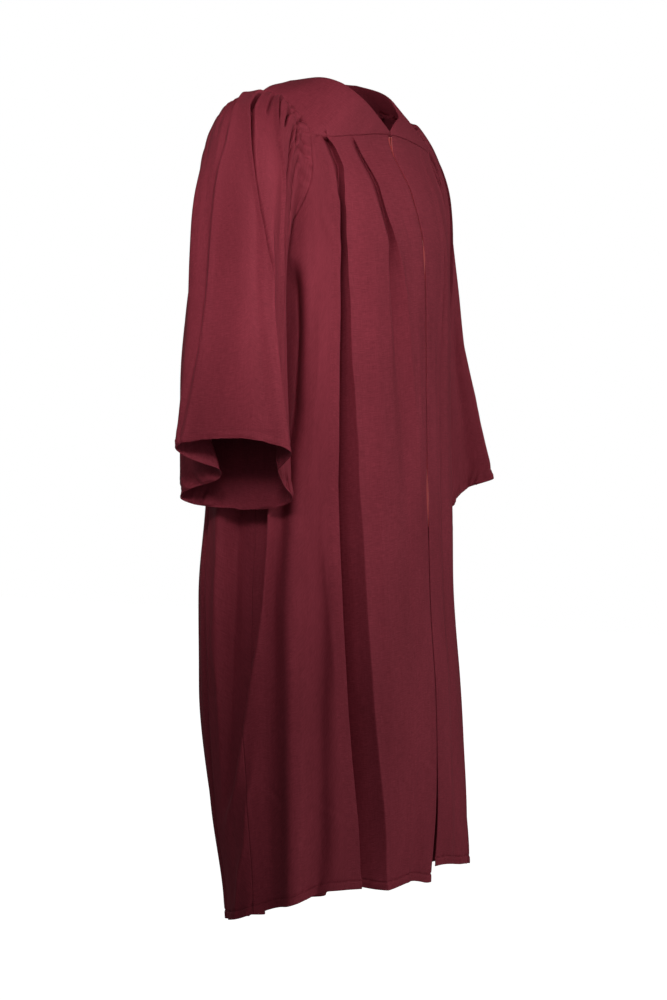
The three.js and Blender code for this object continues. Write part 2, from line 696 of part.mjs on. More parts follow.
// Point of a sleeve ring; turn 0 is outermost, 90 the front, 180 innermost, 270 the back.
function ringPoint(turn, at, side) {
  const r = { ...readTable(sleeveLine, 'at', at), ...readTable(sleeveDepth, 'at', at) };
  const hang = side > 0 ? smooth(at) : 0;
  const slimmer = Math.sin((Math.PI / 2) * Math.min(2, at / leftSleeve.slimmestAt));
  const slim = side > 0 ? leftSleeve.narrower * slimmer : 0;
  const outX = r.outX - slim;
  const outZ = r.outZ - leftSleeve.outerDrop * hang;
  const inZ = r.inZ - leftSleeve.innerDrop * hang;
  const c = signedPower(Math.cos(turn * radians), 2 / r.square);
  const s = signedPower(Math.sin(turn * radians), 2 / r.square);
  const outwards = (1 + c) / 2;
  const frontY = mix(r.inFront, r.outFront, outwards);
  const backY = mix(r.inBack, r.outBack, outwards);
  const tuckAt = (line) => hump((((turn - line + 540) % 360) - 180) / tuckReach);
  const tuck = r.tuckFront * tuckAt(90) - r.tuckBack * tuckAt(270);
  return new THREE.Vector3(
    side * mix(r.inX, outX, outwards),
    mix(backY, frontY, (1 + s) / 2) + tuck,
    mix(inZ, outZ, outwards),
  );
}

// The gathers start at the seam and melt into the sleeve below them.
function gatherOut(turn, at) {
  const away = ((turn + 180) % 360) - 180;
  const grown = smooth(at / gatherStart) * (1 - smooth(at / gatherEnd));
  return -grown * sleeveGathers.reduce((sum, g) => sum + g.depth * hump((away - g.turn) / gatherReach), 0);
}

for (const [word, side] of [['right', -1], ['left', 1]]) {
  const loop = loops[side];
  const lengths = [0];
  loop.forEach((place, i) => {
    lengths.push(lengths[i] + place.point.distanceTo(loop[(i + 1) % loop.length].point));
  });
  const turns = loop.map((_, i) => (360 * lengths[i]) / lengths.at(-1));
  const grid = [loop.map(({ point, facing }) => ({ point: point.clone(), facing }))];
  const firstRing = sleeveLine[0].at;
  for (let i = 1; i <= sleeveRows; i += 1) {
    const at = (i / sleeveRows) ** sleeveRowSpread;
    const ringAt = Math.max(at, firstRing);
    const centre = ringPoint(0, ringAt, side).lerp(ringPoint(180, ringAt, side), 0.5);
    grid.push(turns.map((turn, j) => {
      const ring = ringPoint(turn, ringAt, side);
      const point = loop[j].point.clone().lerp(ring, Math.min(1, at / firstRing));
      const outward = point.clone().sub(centre).normalize();
      return { point: point.addScaledVector(outward, gatherOut(turn, at)) };
    }));
  }
  fillFacings(grid, true, side);
  drawBack(...topOf(grid), seamGap / 2);
  addPiece(`sleeve_${word}`, wallGeometry(grid, true, side), clothLook);
}

// Depth of the centre front at a height, on the straight lines between the panel's rows.
function centreDepth(z) {
  const below = centreLine.findIndex((point) => point.z < z);
  const low = centreLine[below];
  const high = centreLine[below - 1];
  return mix(low.y, high.y, (z - low.z) / (high.z - low.z));
}

// Upright strip behind the centre front, through the given heights from the top down.
function centreStrip(width, set, thick, heights) {
  const half = width / 2;
  const corners = [[-half, set], [-half, set + thick], [half, set + thick], [half, set]];
  const positions = heights.flatMap((z) => corners.flatMap(([x, back]) => [x, centreDepth(z) + back, z]));
  const faces = [0, 2, 1, 0, 3, 2];
  for (let i = 0; i < heights.length - 1; i += 1) {
    for (let j = 0; j < 4; j += 1) {
      const a = i * 4 + j;
      const b = i * 4 + ((j + 1) % 4);
      faces.push(a, b, b + 4, a, b + 4, a + 4);
    }
  }
  const end = (heights.length - 1) * 4;
  faces.push(end, end + 1, end + 2, end, end + 2, end + 3);
  const geometry = new THREE.BufferGeometry();
  geometry.setAttribute('position', new THREE.Float32BufferAttribute(positions, 3));
  geometry.setIndex(faces);
  return geometry;
}

const coilSet = tapeDepth + zip.tapeThick + coilGap;
const sliderSet = coilSet + zip.coilThick + seamGap;
const pullSet = sliderSet + zip.sliderThick + seamGap;
const coilHeights = [zip.top, ...centreLine.slice(1, zipRows + 1).map((point) => point.z)];
const sliderTop = zip.top - zip.sliderBelowTop;
const pullTop = zip.top - zip.pullBelowTop;
addPiece('zip_coil', centreStrip(zip.coilWidth, coilSet, zip.coilThick, coilHeights), coilLook);
addPiece('zip_slider', centreStrip(
  zip.sliderWidth, sliderSet, zip.sliderThick, [sliderTop, sliderTop - zip.sliderHigh]), sliderLook);
addPiece('zip_pull', centreStrip(
  zip.pullWidth, pullSet, zip.pullThick, [pullTop, pullTop - zip.pullHigh]), sliderLook);

export default robe;
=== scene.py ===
# Choir robe in maroon satin polyester, in its filled hanging shape.
# Shapes are worked out in millimetres; meshes are in metres. Side -1 is the wearer's right, 1 the left.
import math
import bpy
import numpy as np
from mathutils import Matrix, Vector


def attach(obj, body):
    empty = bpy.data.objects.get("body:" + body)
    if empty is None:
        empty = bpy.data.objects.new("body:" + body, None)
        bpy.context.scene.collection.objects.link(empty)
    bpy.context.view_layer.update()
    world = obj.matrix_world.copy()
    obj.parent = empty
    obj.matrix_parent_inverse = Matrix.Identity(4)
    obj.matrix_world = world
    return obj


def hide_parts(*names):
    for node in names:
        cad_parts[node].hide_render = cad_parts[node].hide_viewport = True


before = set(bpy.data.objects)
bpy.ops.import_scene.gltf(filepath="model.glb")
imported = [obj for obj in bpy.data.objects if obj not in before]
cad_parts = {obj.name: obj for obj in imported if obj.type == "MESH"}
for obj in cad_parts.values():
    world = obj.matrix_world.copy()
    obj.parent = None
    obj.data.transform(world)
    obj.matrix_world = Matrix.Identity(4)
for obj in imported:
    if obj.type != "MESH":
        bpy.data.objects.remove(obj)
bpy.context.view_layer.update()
print("robe: frame loaded")

mm = 0.001
sides = {"Right": -1, "Left": 1}
radians = math.pi / 180
bodyDegree = 3.9  # mm of cloth in a degree of turn on the body
sleeveDegree = 2.2  # and on a sleeve
sleeveLength = 600


# Tables: the first column is the place along a line, the others are read there by a smooth cubic.
def asTable(names, rows):
    values = np.array(rows, float)
    values = values[np.argsort(values[:, 0])]
    return {name: values[:, i] for i, name in enumerate(names.split())}


# Slope at a row: harmonic mean of the slopes beside it, and none at an end or a turning point.
def rowSlopes(x, y):
    steps = np.diff(y) / np.diff(x)
    before, after = steps[:-1], steps[1:]
    same = before * after > 0
    slopes = np.zeros(len(x))
    slopes[1:-1] = np.where(same, 2 * before * after / np.where(same, before + after, 1), 0)
    return slopes


def readTable(table, at):
    names = list(table)
    x = table[names[0]]
    i = np.clip(np.searchsorted(x, at, side="right") - 1, 0, len(x) - 2)
    span = x[i + 1] - x[i]
    q = np.clip((at - x[i]) / span, 0, 1)
    read = {}
    for name in names[1:]:
        y = table[name]
        slope = rowSlopes(x, y)
        start = (2 * q**3 - 3 * q**2 + 1) * y[i] + (q**3 - 2 * q**2 + q) * span * slope[i]
        read[name] = start + (3 * q**2 - 2 * q**3) * y[i + 1] + (q**3 - q**2) * span * slope[i + 1]
    return read


def smooth(q):
    c = np.clip(q, 0, 1)
    return c * c * (3 - 2 * c)


def mix(a, b, q):
    return a + (b - a) * q


def hump(q):  # height 1 at 0, nothing beyond about twice its reach
    return np.exp(-q * q)


def unit(v):
    return v / np.linalg.norm(v, axis=-1, keepdims=True)


def signedPower(v, p):
    return np.sign(v) * np.abs(v) ** p


# Smooth seeded values between -1 and 1: a lattice of random numbers joined by smooth steps.
def softNoise(x, y, seed):
    lattice = np.random.default_rng(seed).uniform(-1, 1, (64, 64))
    i, j = np.floor(x).astype(int), np.floor(y).astype(int)
    u, v = smooth(x - i), smooth(y - j)
    a = mix(lattice[i % 64, j % 64], lattice[(i + 1) % 64, j % 64], u)
    b = mix(lattice[i % 64, (j + 1) % 64], lattice[(i + 1) % 64, (j + 1) % 64], u)
    return mix(a, b, v)


# Body form, as in the solids: level sections, one row a height.
bodySections = asTable("z halfWidth front back squareFront squareBack", [
    (-80, 247, -120, 112, 2.5, 2.5),
    (-170, 232, -159, 132, 2.4, 2.4),
    (-262, 220, -181, 146, 2.35, 2.35),
    (-330, 222, -184, 152, 2.3, 2.35),
    (-480, 229, -186, 159, 2.2, 2.35),
    (-670, 237, -191, 169, 2.12, 2.32),
    (-810, 241, -195, 182, 2.1, 2.3),
    (-960, 246, -205, 179, 2.1, 2.3),
    (-1140, 262, -209, 152, 2.12, 2.25),
    (-1280, 285, -203, 111, 2.2, 2.2),
    (-1370, 293, -199, 98, 2.2, 2.2),
])
hemLine = {
    -1: asTable("turn z", [(0, -1269), (14, -1257), (24, -1262), (38, -1252), (52, -1250), (65, -1261),
                           (85, -1278), (107, -1301), (140, -1320), (180, -1346)]),
    1: asTable("turn z", [(0, -1246), (20, -1262), (45, -1281), (80, -1296), (107, -1322),
                          (140, -1343), (180, -1346)]),
}
frontSeam = asTable("turn z", [(0, -75), (20, -83), (40, -89), (48.4, -86)])
backSeam = asTable("turn z", [(135.6, -105), (158, -111), (180, -114)])
cut = {
    "underarmTurn": 94, "underarmZ": -262, "armholeRound": 1.35,
    "frontTurn": 48.4, "frontZ": -86, "backTurn": 135.6, "backZ": -105, "backSeamMiddle": -114,
    "flatBelowArmhole": 70, "fluteStart": 420, "fluteSpread": 900, "fluteReach": 4.2,
    "cloth": 0.7, "yokeCloth": 1.1, "zipGap": 1.7,
}

# Soft folds of the skirt: a height, the turn of the fold line, how far the cloth stands out there,
# and its reach in degrees towards the front and towards the side.
softFolds = {side: [asTable("z turn out reachFront reachSide", rows) for rows in lines] for side, lines in {
    -1: [
        [(-260, 50, 0, 6, 6), (-420, 54, 4, 5, 6), (-560, 58, 0, 5, 5), (-720, 58, -4, 3.4, 5),
            (-812, 56.4, -8, 3, 6), (-905, 57.6, -8, 3, 6), (-1000, 59.4, -8, 3.4, 6),
            (-1290, 59.6, -10, 4, 7)],
        [(-520, 71, 0, 5, 4), (-720, 72.4, 7, 5, 3.6), (-1000, 73.4, 10, 5, 3.4),
            (-1290, 74.6, 12, 5, 3.4)],
        [(-270, 77, 0, 4, 6), (-330, 76, -32, 4, 8), (-410, 75, -44, 4.2, 9), (-500, 75, -38, 4.6, 8),
            (-590, 77, -18, 5, 6), (-800, 80.4, -12, 5, 4), (-1000, 83, -12, 6, 5),
            (-1290, 86, -10, 7, 8)],
    ],
    1: [
        [(-330, 66, 0, 6, 6), (-560, 67, -14, 6, 7), (-900, 69, -17, 7, 7), (-1310, 72, -14, 8, 7)],
    ],
}.items()}
# Flat-bottomed troughs down the sides between two ridges: where each begins and ends, and its depth.
sideTroughs = {
    -1: asTable("z start end depth", [
        (-300, 86, 108, 0), (-430, 85, 110, 18), (-560, 84, 112, 28), (-720, 84, 111, 30),
            (-813, 85, 110, 28), (-906, 89.5, 111, 24), (-1001, 93, 110, 16), (-1095, 100, 111, 8),
            (-1170, 108, 116, 0)]),
    1: asTable("z start end depth", [
        (-300, 86, 108, 0), (-450, 86, 110, 16), (-620, 86, 111, 24), (-800, 88, 111, 24),
            (-980, 93, 112, 15), (-1120, 101, 114, 0)]),
}
# Pressed pleats: the turn of the fold edge, how deep the valley beside it is, and how many degrees
# past the edge the valley's bottom and the far side's top lie.
pleats = {side: [asTable("z turn depth valley far", rows) for rows in lines] for side, lines in {
    -1: [
        [(-84, 39.4, 0.5, 0.5, 3), (-92, 38.2, 8, 0.7, 4.4), (-108, 35.4, 16, 0.9, 6),
            (-131, 36, 18, 0.9, 6), (-157, 39.8, 22, 0.8, 4.6), (-203, 44, 30, 0.9, 3.2),
            (-250, 46.9, 36, 1.2, 3.2), (-295, 46.7, 40, 2, 4.1), (-342, 45.5, 42, 3.2, 5.2),
            (-388, 44.8, 43, 4, 5.8), (-434, 44, 44, 4.8, 6.4), (-480, 42.5, 44, 5.9, 7.5),
            (-527, 41.5, 44, 6.8, 8.4), (-573, 40.5, 44, 7.6, 9.3), (-619, 40.2, 43, 8, 9.9),
            (-666, 39.2, 42, 8.6, 10.5), (-713, 38.2, 41, 9, 11), (-806, 36.8, 41, 9.2, 11.2),
            (-946, 35.8, 40, 9.6, 11.7), (-1040, 33.8, 39, 9.8, 12), (-1134, 30.8, 38, 10, 12.3),
            (-1229, 27.5, 37, 10, 12.5), (-1290, 25, 36, 10, 12.6)],
        [(-84, 21.4, 0.5, 0.5, 3), (-100, 20.2, 6, 0.5, 4), (-153, 19.4, 10, 0.6, 4.4),
            (-200, 19.8, 12, 0.6, 3.6), (-247, 18, 16, 1.6, 4.5), (-293, 14.6, 18, 4.4, 8.6),
            (-340, 12.8, 17, 5.6, 10), (-387, 11.2, 14, 6, 11), (-434, 10, 12, 6.4, 12),
            (-481, 9, 10, 6.6, 13), (-529, 7, 8, 7, 14), (-651, 5.4, 6, 7, 14), (-790, 4.6, 5, 7, 14),
            (-950, 5, 2, 6, 12), (-1290, 8, 3, 5, 10)],
    ],
    1: [
        [(-84, 38.6, 0.5, 0.5, 3), (-100, 36, 8, 0.8, 5), (-130, 36.4, 16, 0.9, 5.6),
            (-180, 41, 20, 0.8, 4), (-250, 45, 24, 1, 3.6), (-340, 44, 32, 3, 5.6),
            (-480, 42, 34, 5, 7.6), (-640, 40.4, 32, 7, 10), (-900, 37, 30, 8.6, 12),
            (-1130, 33, 28, 9, 12.6), (-1310, 28, 26, 9, 13)],
        [(-84, 20.6, 0.5, 0.5, 3), (-110, 18.8, 6, 0.6, 4), (-200, 18.6, 11, 0.7, 4),
            (-270, 16.6, 15, 3, 7), (-350, 13.6, 14, 5.4, 10), (-480, 10.6, 10, 6.4, 12),
            (-700, 9, 6, 7, 14), (-1310, 10, 4, 6, 12)],
    ],
}.items()}
pleatUnder = 2.6  # degrees that a closed pleat runs back under its fold edge
# Narrow ridges and pressed creases: turn, height of the crease and its half width in degrees.
creases = {side: [asTable("z turn out reach", rows) for rows in lines] for side, lines in {
    -1: [
        [(-300, 6, 0, 2.5), (-380, 5.4, 2.4, 2.2), (-520, 4.6, 2.8, 2), (-640, 5, 0, 2)],
        [(-640, 57.8, 0, 1.2), (-682, 57.5, 1.8, 1.1), (-835, 54, 2.6, 1.1), (-884, 53.2, 2.4, 1.2),
            (-950, 52.8, 0, 1.4)],
        [(-1000, 12.6, 0, 1.4), (-1056, 13.5, 3, 1.3), (-1139, 16, 4, 1.3), (-1252, 15.2, 4, 1.5),
            (-1300, 15.2, 3, 1.6)],
        [(-520, 83.6, 0, 2), (-620, 83.4, 4, 1.6), (-766, 83.8, 6, 1.6), (-860, 86.6, 6, 1.7),
            (-954, 92, 6, 1.9), (-1048, 95.6, 5, 2), (-1120, 102, 4, 2.4), (-1190, 112, 0, 3)],
        [(-640, 79.8, 0, 1.5), (-700, 79.3, 2, 1.4), (-826, 77.5, 1.6, 1.5), (-900, 77, 0, 1.5)],
        [(-1020, 90.4, 0, 1.6), (-1070, 91.2, 4, 1.3), (-1139, 95, 5, 1.4), (-1184, 96.4, 5, 1.5),
            (-1232, 102, 5, 1.6), (-1300, 106, 4, 2)],
        [(-600, 113.5, 0, 2), (-685, 113, 2, 1.6), (-745, 110.4, 3, 1.5), (-818, 111, 3, 1.5),
            (-880, 113, 2.4, 1.6), (-959, 109.6, 1, 2), (-1020, 108, 0, 2)],
        [(-330, 62, 0, 3), (-420, 61, 2, 2.4), (-560, 63, 1.6, 2.2), (-700, 64, 0, 2)],
        [(-280, 31, 0, 3), (-400, 30, 2.5, 3), (-560, 29, 3, 3), (-760, 28, 2.5, 3), (-1000, 25, 1.5, 3),
            (-1280, 22, 0, 3)],
        [(-860, 66, 0, 2), (-960, 67.5, 2.4, 2), (-1120, 69, 3, 2.2), (-1300, 70, 3, 2.4)],
    ],
    1: [
        [(-300, 7, 0, 2.5), (-420, 6.4, 2.2, 2.2), (-700, 6, 2.4, 2.2), (-900, 7, 0, 2)],
        [(-420, 29, 0, 2.6), (-620, 28, 1.2, 2.6), (-900, 26, 1, 2.6), (-1280, 24, 0.6, 3)],
        [(-560, 56, 0, 1.3), (-700, 55, 2.2, 1.2), (-900, 54, 2.4, 1.2), (-1010, 53.6, 0, 1.4)],
        [(-520, 84, 0, 2.6), (-700, 85, 5, 2.2), (-960, 88, 5, 2.4), (-1200, 93, 2, 3)],
        [(-900, 76, 0, 1.6), (-1040, 77.4, 3, 1.5), (-1300, 79, 3, 1.8)],
    ],
}.items()}
backFlutes = {
    -1: [(139, 124, 13), (147, 138, 19), (158, 153, 24), (170, 168, 20)],
    1: [(140, 126, 15), (150, 141, 22), (162, 158, 20), (174, 175, 17)],
}
# Fine creases of the back, turn at the seam and at the hem, height, top and bottom of each.
backCreases = {
    -1: [(143, 131, 3, -200, -900), (153, 146, 3.5, -160, -1240), (165, 161, 3, -300, -1330),
        (176, 177, 2.6, -220, -1000), (128, 117, 3.4, -560, -1300)],
    1: [(145, 134, 3, -260, -1200), (156, 150, 3.4, -180, -980), (168, 167, 3, -240, -1330),
        (130, 119, 3.2, -600, -1320)],
}
# Short dents left by packing: turn, height, half length and half width in mm, tilt and depth.
dents = {
    -1: [(23, -697, 22, 2.2, 4, 0.9), (3.5, -690, 9, 2, -6, 0.7), (5.5, -1078, 17, 3.5, 34, 1.6),
        (31, -705, 16, 2.4, -3, 0.7), (62, -700, 30, 3, 5, 0.8), (12, -330, 16, 3, 50, 1),
        (30, -905, 26, 3, -24, 1), (55, -1130, 24, 3, 28, 1.2), (18, -1170, 18, 3, -40, 1.2),
        (83, -1110, 26, 4, 40, 1.6), (45.6, -96, 11, 2.2, -36, 2.2), (50, -140, 18, 5, -62, 2.2),
        (46.5, -178, 24, 6, 58, 2), (55, -222, 26, 7, 72, 2.4), (13, -318, 14, 3, 42, 1.4),
        (9, -232, 30, 4, 80, 0.8)],
    1: [(20, -700, 24, 2.4, -4, 0.9), (46, -705, 26, 3, 4, 0.8), (12, -1050, 18, 3, -34, 1.4),
        (60, -1120, 24, 3.4, 30, 1.4)],
}


def sectionPoint(turn, z, side):  # superellipse, its turn counted from the centre front
    s = readTable(bodySections, z)
    power = 2 / np.where(np.abs(turn) < 90, s["squareFront"], s["squareBack"])
    x = side * s["halfWidth"] * signedPower(np.sin(turn * radians), power)
    depth = (s["back"] - s["front"]) / 2
    y = (s["front"] + s["back"]) / 2 - depth * signedPower(np.cos(turn * radians), power)
    return np.stack([x, y, z + 0 * x], axis=-1)


def sectionNormal(turn, z, side):  # level, straight out of the section
    along = sectionPoint(turn + 0.5, z, side) - sectionPoint(turn - 0.5, z, side)
    out = np.stack([along[..., 1] * side, -along[..., 0] * side, 0 * along[..., 0]], axis=-1)
    return unit(out)


def backSpread(z):
    return smooth((cut["backSeamMiddle"] - z) / cut["fluteSpread"])


# Share of a pleat's depth: down a flat side from the fold edge to the valley, then up the far side.
def pleatDown(away, p):
    return np.clip(away / p["valley"], 0, 1)


def pleatUp(away, p):
    q = np.clip((away - p["valley"]) / (p["far"] - p["valley"]), 0, 1)
    return mix(q, smooth(q), 0.5)


# Degrees by which the cloth past a fold edge lies back under it, where the pleat is still closed.
def pleatBack(turn, z, side):
    back = 0 * turn
    for pleat in pleats[side]:
        p = readTable(pleat, z)
        away = turn - p["turn"]
        closed = smooth((3.2 - p["valley"]) / 2.2) * smooth(p["depth"] / 8)
        back = back + pleatUnder * closed * pleatDown(away, p) * (1 - np.clip(away / p["far"], 0, 1))
    return back


# How far the folds push the cloth out: pleats, soft folds, creases, flutes and dents added up.
def foldOut(turn, z, side):
    out = 0 * turn
    for pleat in pleats[side]:
        p = readTable(pleat, z)
        away = turn - p["turn"]
        out = out - p["depth"] * pleatDown(away, p) * (1 - pleatUp(away, p))
        out = out + np.minimum(1.8, 0.1 * p["depth"]) * hump(away / 1.4)
    for fold in softFolds[side]:
        f = readTable(fold, z)
        away = turn - f["turn"]
        out = out + f["out"] * hump(away / np.where(away < 0, f["reachFront"], f["reachSide"]))
    t = readTable(sideTroughs[side], z)
    out = out - t["depth"] * smooth((turn - t["start"]) / 3.4) * smooth((t["end"] - turn) / 5)
    for crease in creases[side]:
        c = readTable(crease, z)
        away = np.sqrt((turn - c["turn"])**2 + 0.15)
        out = out + c["out"] * np.exp(-away / c["reach"])
    grown = smooth((cut["backSeamMiddle"] - z) / cut["fluteStart"])
    for top, foot, depth in backFlutes[side]:
        line = mix(top, foot, backSpread(z))
        out = out - depth * grown * hump((turn - line) / cut["fluteReach"])
    for top, foot, height, start, end in backCreases[side]:
        line = mix(top, foot, backSpread(z)) + 0.5 * np.sin(z / 90 + top)
        held = smooth((start - z) / 140) * smooth((z - end) / 160)
        out = out + height * held * np.exp(-np.sqrt((turn - line)**2 + 0.2) / 1.7)
    for turnAt, zAt, length, width, tilt, depth in dents[side]:
        across = (turn - turnAt) * bodyDegree
        up = z - zAt
        along = across * math.cos(tilt * radians) + up * math.sin(tilt * radians)
        over = -across * math.sin(tilt * radians) + up * math.cos(tilt * radians)
        out = out - depth * hump(along / length) * over / width * np.exp(0.5 - 0.5 * (over / width)**2)
    return out


def armholeHeight(turn):
    front = turn < cut["underarmTurn"]
    corner = np.where(front, cut["frontTurn"], cut["backTurn"])
    cornerZ = np.where(front, cut["frontZ"], cut["backZ"])
    across = np.clip((turn - corner) / (cut["underarmTurn"] - corner), 0, 1)
    height = (1 - (1 - across) ** cut["armholeRound"]) ** (1 / cut["armholeRound"])
    return np.where(across <= 0, 0, mix(cornerZ, cut["underarmZ"], height))


def bodyPoint(turn, z, side):
    free = smooth((armholeHeight(turn) - z) / cut["flatBelowArmhole"])
    arc = turn * bodyDegree * side
    ripple = 1.3 * softNoise(arc / 34 + 7, z / 210, 3) + 0.5 * softNoise(arc / 15, z / 90, 5)
    out = (foldOut(turn, z, side) + ripple * smooth((-90 - z) / 120)) * free
    lying = turn - pleatBack(turn, z, side) * free
    return sectionPoint(lying, z, side) + sectionNormal(lying, z, side) * out[..., None]


# Armhole line on the body, q from a yoke corner (0) to the underarm (1).
def armholeAt(front, q):
    p = 2 / cut["armholeRound"]
    a = q * math.pi / 2
    turn = mix(cut["underarmTurn"], cut["frontTurn"] if front else cut["backTurn"], np.cos(a) ** p)
    z = mix(cut["frontZ"] if front else cut["backZ"], cut["underarmZ"], np.sin(a) ** p)
    return turn, z


# Smooth line through points, read at shares of its length: a Catmull-Rom curve, resampled.
def smoothLine(points, shares):
    p = np.array(points, float)
    ends = [2 * p[0] - p[1]], [2 * p[-1] - p[-2]]
    p = np.concatenate([ends[0], p, ends[1]])
    t = np.linspace(0, len(points) - 1.0001, 400)
    i = t.astype(int)
    q = (t - i)[:, None]
    a, b, c, d = p[i], p[i + 1], p[i + 2], p[i + 3]
    line = 0.5 * (2 * b + (c - a) * q + (2 * a - 5 * b + 4 * c - d) * q**2 + (3 * b - a - 3 * c + d) * q**3)
    length = np.concatenate([[0], np.cumsum(np.linalg.norm(np.diff(line, axis=0), axis=1))])
    at = np.asarray(shares) * length[-1]
    return np.stack([np.interp(at, length, line[:, k]) for k in range(3)], axis=-1)


shoulderTip = (190, 0, -15)
yokeEdge = {
    "front": [(191, -75, -67), (190, -57, -47), (190, -29, -27)],
    "back": [(189, 40, -30), (187, 76, -66)],
}
neckFront = [(0, -120, -69, -69), (25, -115, -49, -53), (54, -107, -26, -40), (68, -92, -9, -23),
             (81, -74, 5, -6), (94, -45, 13, 8), (100, 0, 9, 21)]
neckBack = [(100, 0, 9, 21), (92, 36, 3, 25), (66, 62, 3, 22), (34, 73, 8, 18), (0, 76, 14, 14)]


def onSide(points, side):
    return [(side * x, y, z) for x, y, z in points]


def yokeEdgeLine(front, side, shares):  # from the yoke's corner to the shoulder tip
    turn, z = (cut["frontTurn"], cut["frontZ"]) if front else (cut["backTurn"], cut["backZ"])
    corner = sectionPoint(np.array(float(turn)), np.array(float(z)), side)
    middle = onSide(yokeEdge["front" if front else "back"], side)
    return smoothLine([tuple(corner), *middle, (side * shoulderTip[0], *shoulderTip[1:])], shares)


# Armhole loop: from the shoulder tip down the front, round the underarm and up the back.
def armholeLoop(side, counts=(60, 80)):
    edge, half = counts
    front = yokeEdgeLine(True, side, np.linspace(1, 0, edge + 1))
    back = yokeEdgeLine(False, side, np.linspace(0, 1, edge + 1))
    down = sectionPoint(*armholeAt(True, np.linspace(0, 1, half + 1)), side)
    up = sectionPoint(*armholeAt(False, np.linspace(1, 0, half + 1)), side)
    return np.concatenate([front, down[1:], up[1:], back[1:-1]])


def gridNormals(points, closed, flip):
    down = np.gradient(points, axis=0)
    if closed:
        wide = np.concatenate([points[:, -1:], points, points[:, :1]], axis=1)
        across = (wide[:, 2:] - wide[:, :-2]) / 2
    else:
        across = np.gradient(points, axis=1)
    normal = np.cross(across, down) * flip
    return normal / np.maximum(np.linalg.norm(normal, axis=-1, keepdims=True), 1e-9)


def closedUp(points, closed):  # a ring gets its first column once more at its end
    return np.concatenate([points, points[:, :1]], axis=1) if closed else points


# Cloth lengths on a grid, in mm: across it on its middle rows, and down each column.
def clothLengths(points, closed):
    wide = closedUp(points, closed)
    steps = np.linalg.norm(np.diff(wide, axis=1), axis=-1)
    across = np.concatenate([[0], np.cumsum(steps[len(steps) // 2:].mean(axis=0))])
    falls = np.linalg.norm(np.diff(wide, axis=0), axis=-1)
    down = np.concatenate([np.zeros((1, wide.shape[1])), np.cumsum(falls, axis=0)])
    return np.broadcast_to(across, down.shape), down


def putMesh(name, vertices, faces, uv=None):
    mesh = bpy.data.meshes.new(name)
    perFace = faces.shape[1]
    mesh.vertices.add(len(vertices))
    mesh.vertices.foreach_set("co", (vertices * mm).astype(np.float32).ravel())
    mesh.loops.add(faces.size)
    mesh.loops.foreach_set("vertex_index", faces.ravel().astype(np.int32))
    mesh.polygons.add(len(faces))
    mesh.polygons.foreach_set("loop_start", np.arange(len(faces), dtype=np.int32) * perFace)
    mesh.polygons.foreach_set("use_smooth", np.ones(len(faces), dtype=bool))
    mesh.update(calc_edges=True)
    if uv is not None:
        layer = mesh.uv_layers.new(name="cloth")
        layer.data.foreach_set("uv", uv.astype(np.float32).ravel())
    mesh.validate()
    piece = bpy.data.objects.new(name, mesh)
    bpy.context.collection.objects.link(piece)
    return piece


# Sheet of cloth from a grid of outer points, with its thickness set inwards and a UV map in metres.
def clothPiece(name, points, closed, flip, thickness, material, nodes):
    rows, columns = points.shape[:2]
    index = np.arange(rows * columns).reshape(rows, columns)
    wide = closedUp(index, closed)
    across, down = clothLengths(points, closed)
    corners = [(slice(None, -1), slice(None, -1)), (slice(None, -1), slice(1, None)),
               (slice(1, None), slice(1, None)), (slice(1, None), slice(None, -1))]
    if flip < 0:
        corners = [corners[0], corners[3], corners[2], corners[1]]
    faces = np.stack([wide[c] for c in corners], axis=-1).reshape(-1, 4)
    uv = np.stack([np.stack([across[c], -down[c]], axis=-1) for c in corners], axis=-2) * mm
    piece = putMesh(name, points.reshape(-1, 3), faces, uv.reshape(-1, 2))
    wall = piece.modifiers.new("cloth", "SOLIDIFY")
    wall.thickness = thickness * mm
    wall.offset = -1
    wall.use_even_offset = False
    piece.data.materials.append(material)
    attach(piece, "root")
    if nodes:
        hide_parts(*nodes)
    return piece


# Row or column places: dense near both ends, where seams and hems are, with steps in mm there.
def denseEnds(length, count, start, end):
    first = np.cumsum([0.0] + start)
    last = length - np.cumsum([0.0] + end)[::-1]
    middle = np.linspace(first[-1], last[0], count + 1)[1:-1]
    return np.concatenate([first, middle, last]) / length


# Materials: one class fills any node tree, the next adds the shader of a material.
class Tree:
    def __init__(self, owner):
        owner.use_nodes = True
        self.tree = owner.node_tree
        self.tree.nodes.clear()

    def add(self, kind, inputs=(), **settings):
        node = self.tree.nodes.new(kind)
        for key, value in settings.items():
            setattr(node, key, value)
        for key, value in dict(inputs).items():
            if isinstance(value, bpy.types.NodeSocket):
                self.tree.links.new(value, node.inputs[key])
            else:
                node.inputs[key].default_value = value
        return node

    def maths(self, kind, a, b=0.0):
        return self.add("ShaderNodeMath", {0: a, 1: b}, operation=kind).outputs[0]

    def stretched(self, source, scale):
        return self.add("ShaderNodeMapping", {"Vector": source, "Scale": scale}).outputs[0]

    def noise(self, source, scale, stretch, detail=2.0, rough=0.5):
        vector = self.stretched(source, stretch)
        return self.add("ShaderNodeTexNoise", {"Vector": vector, "Scale": scale, "Detail": detail,
                                               "Roughness": rough}).outputs["Fac"]

    def ramp(self, source, low, high, toLow, toHigh):
        return self.add("ShaderNodeMapRange", {"Value": source, "From Min": low, "From Max": high,
                                               "To Min": toLow, "To Max": toHigh}).outputs[0]


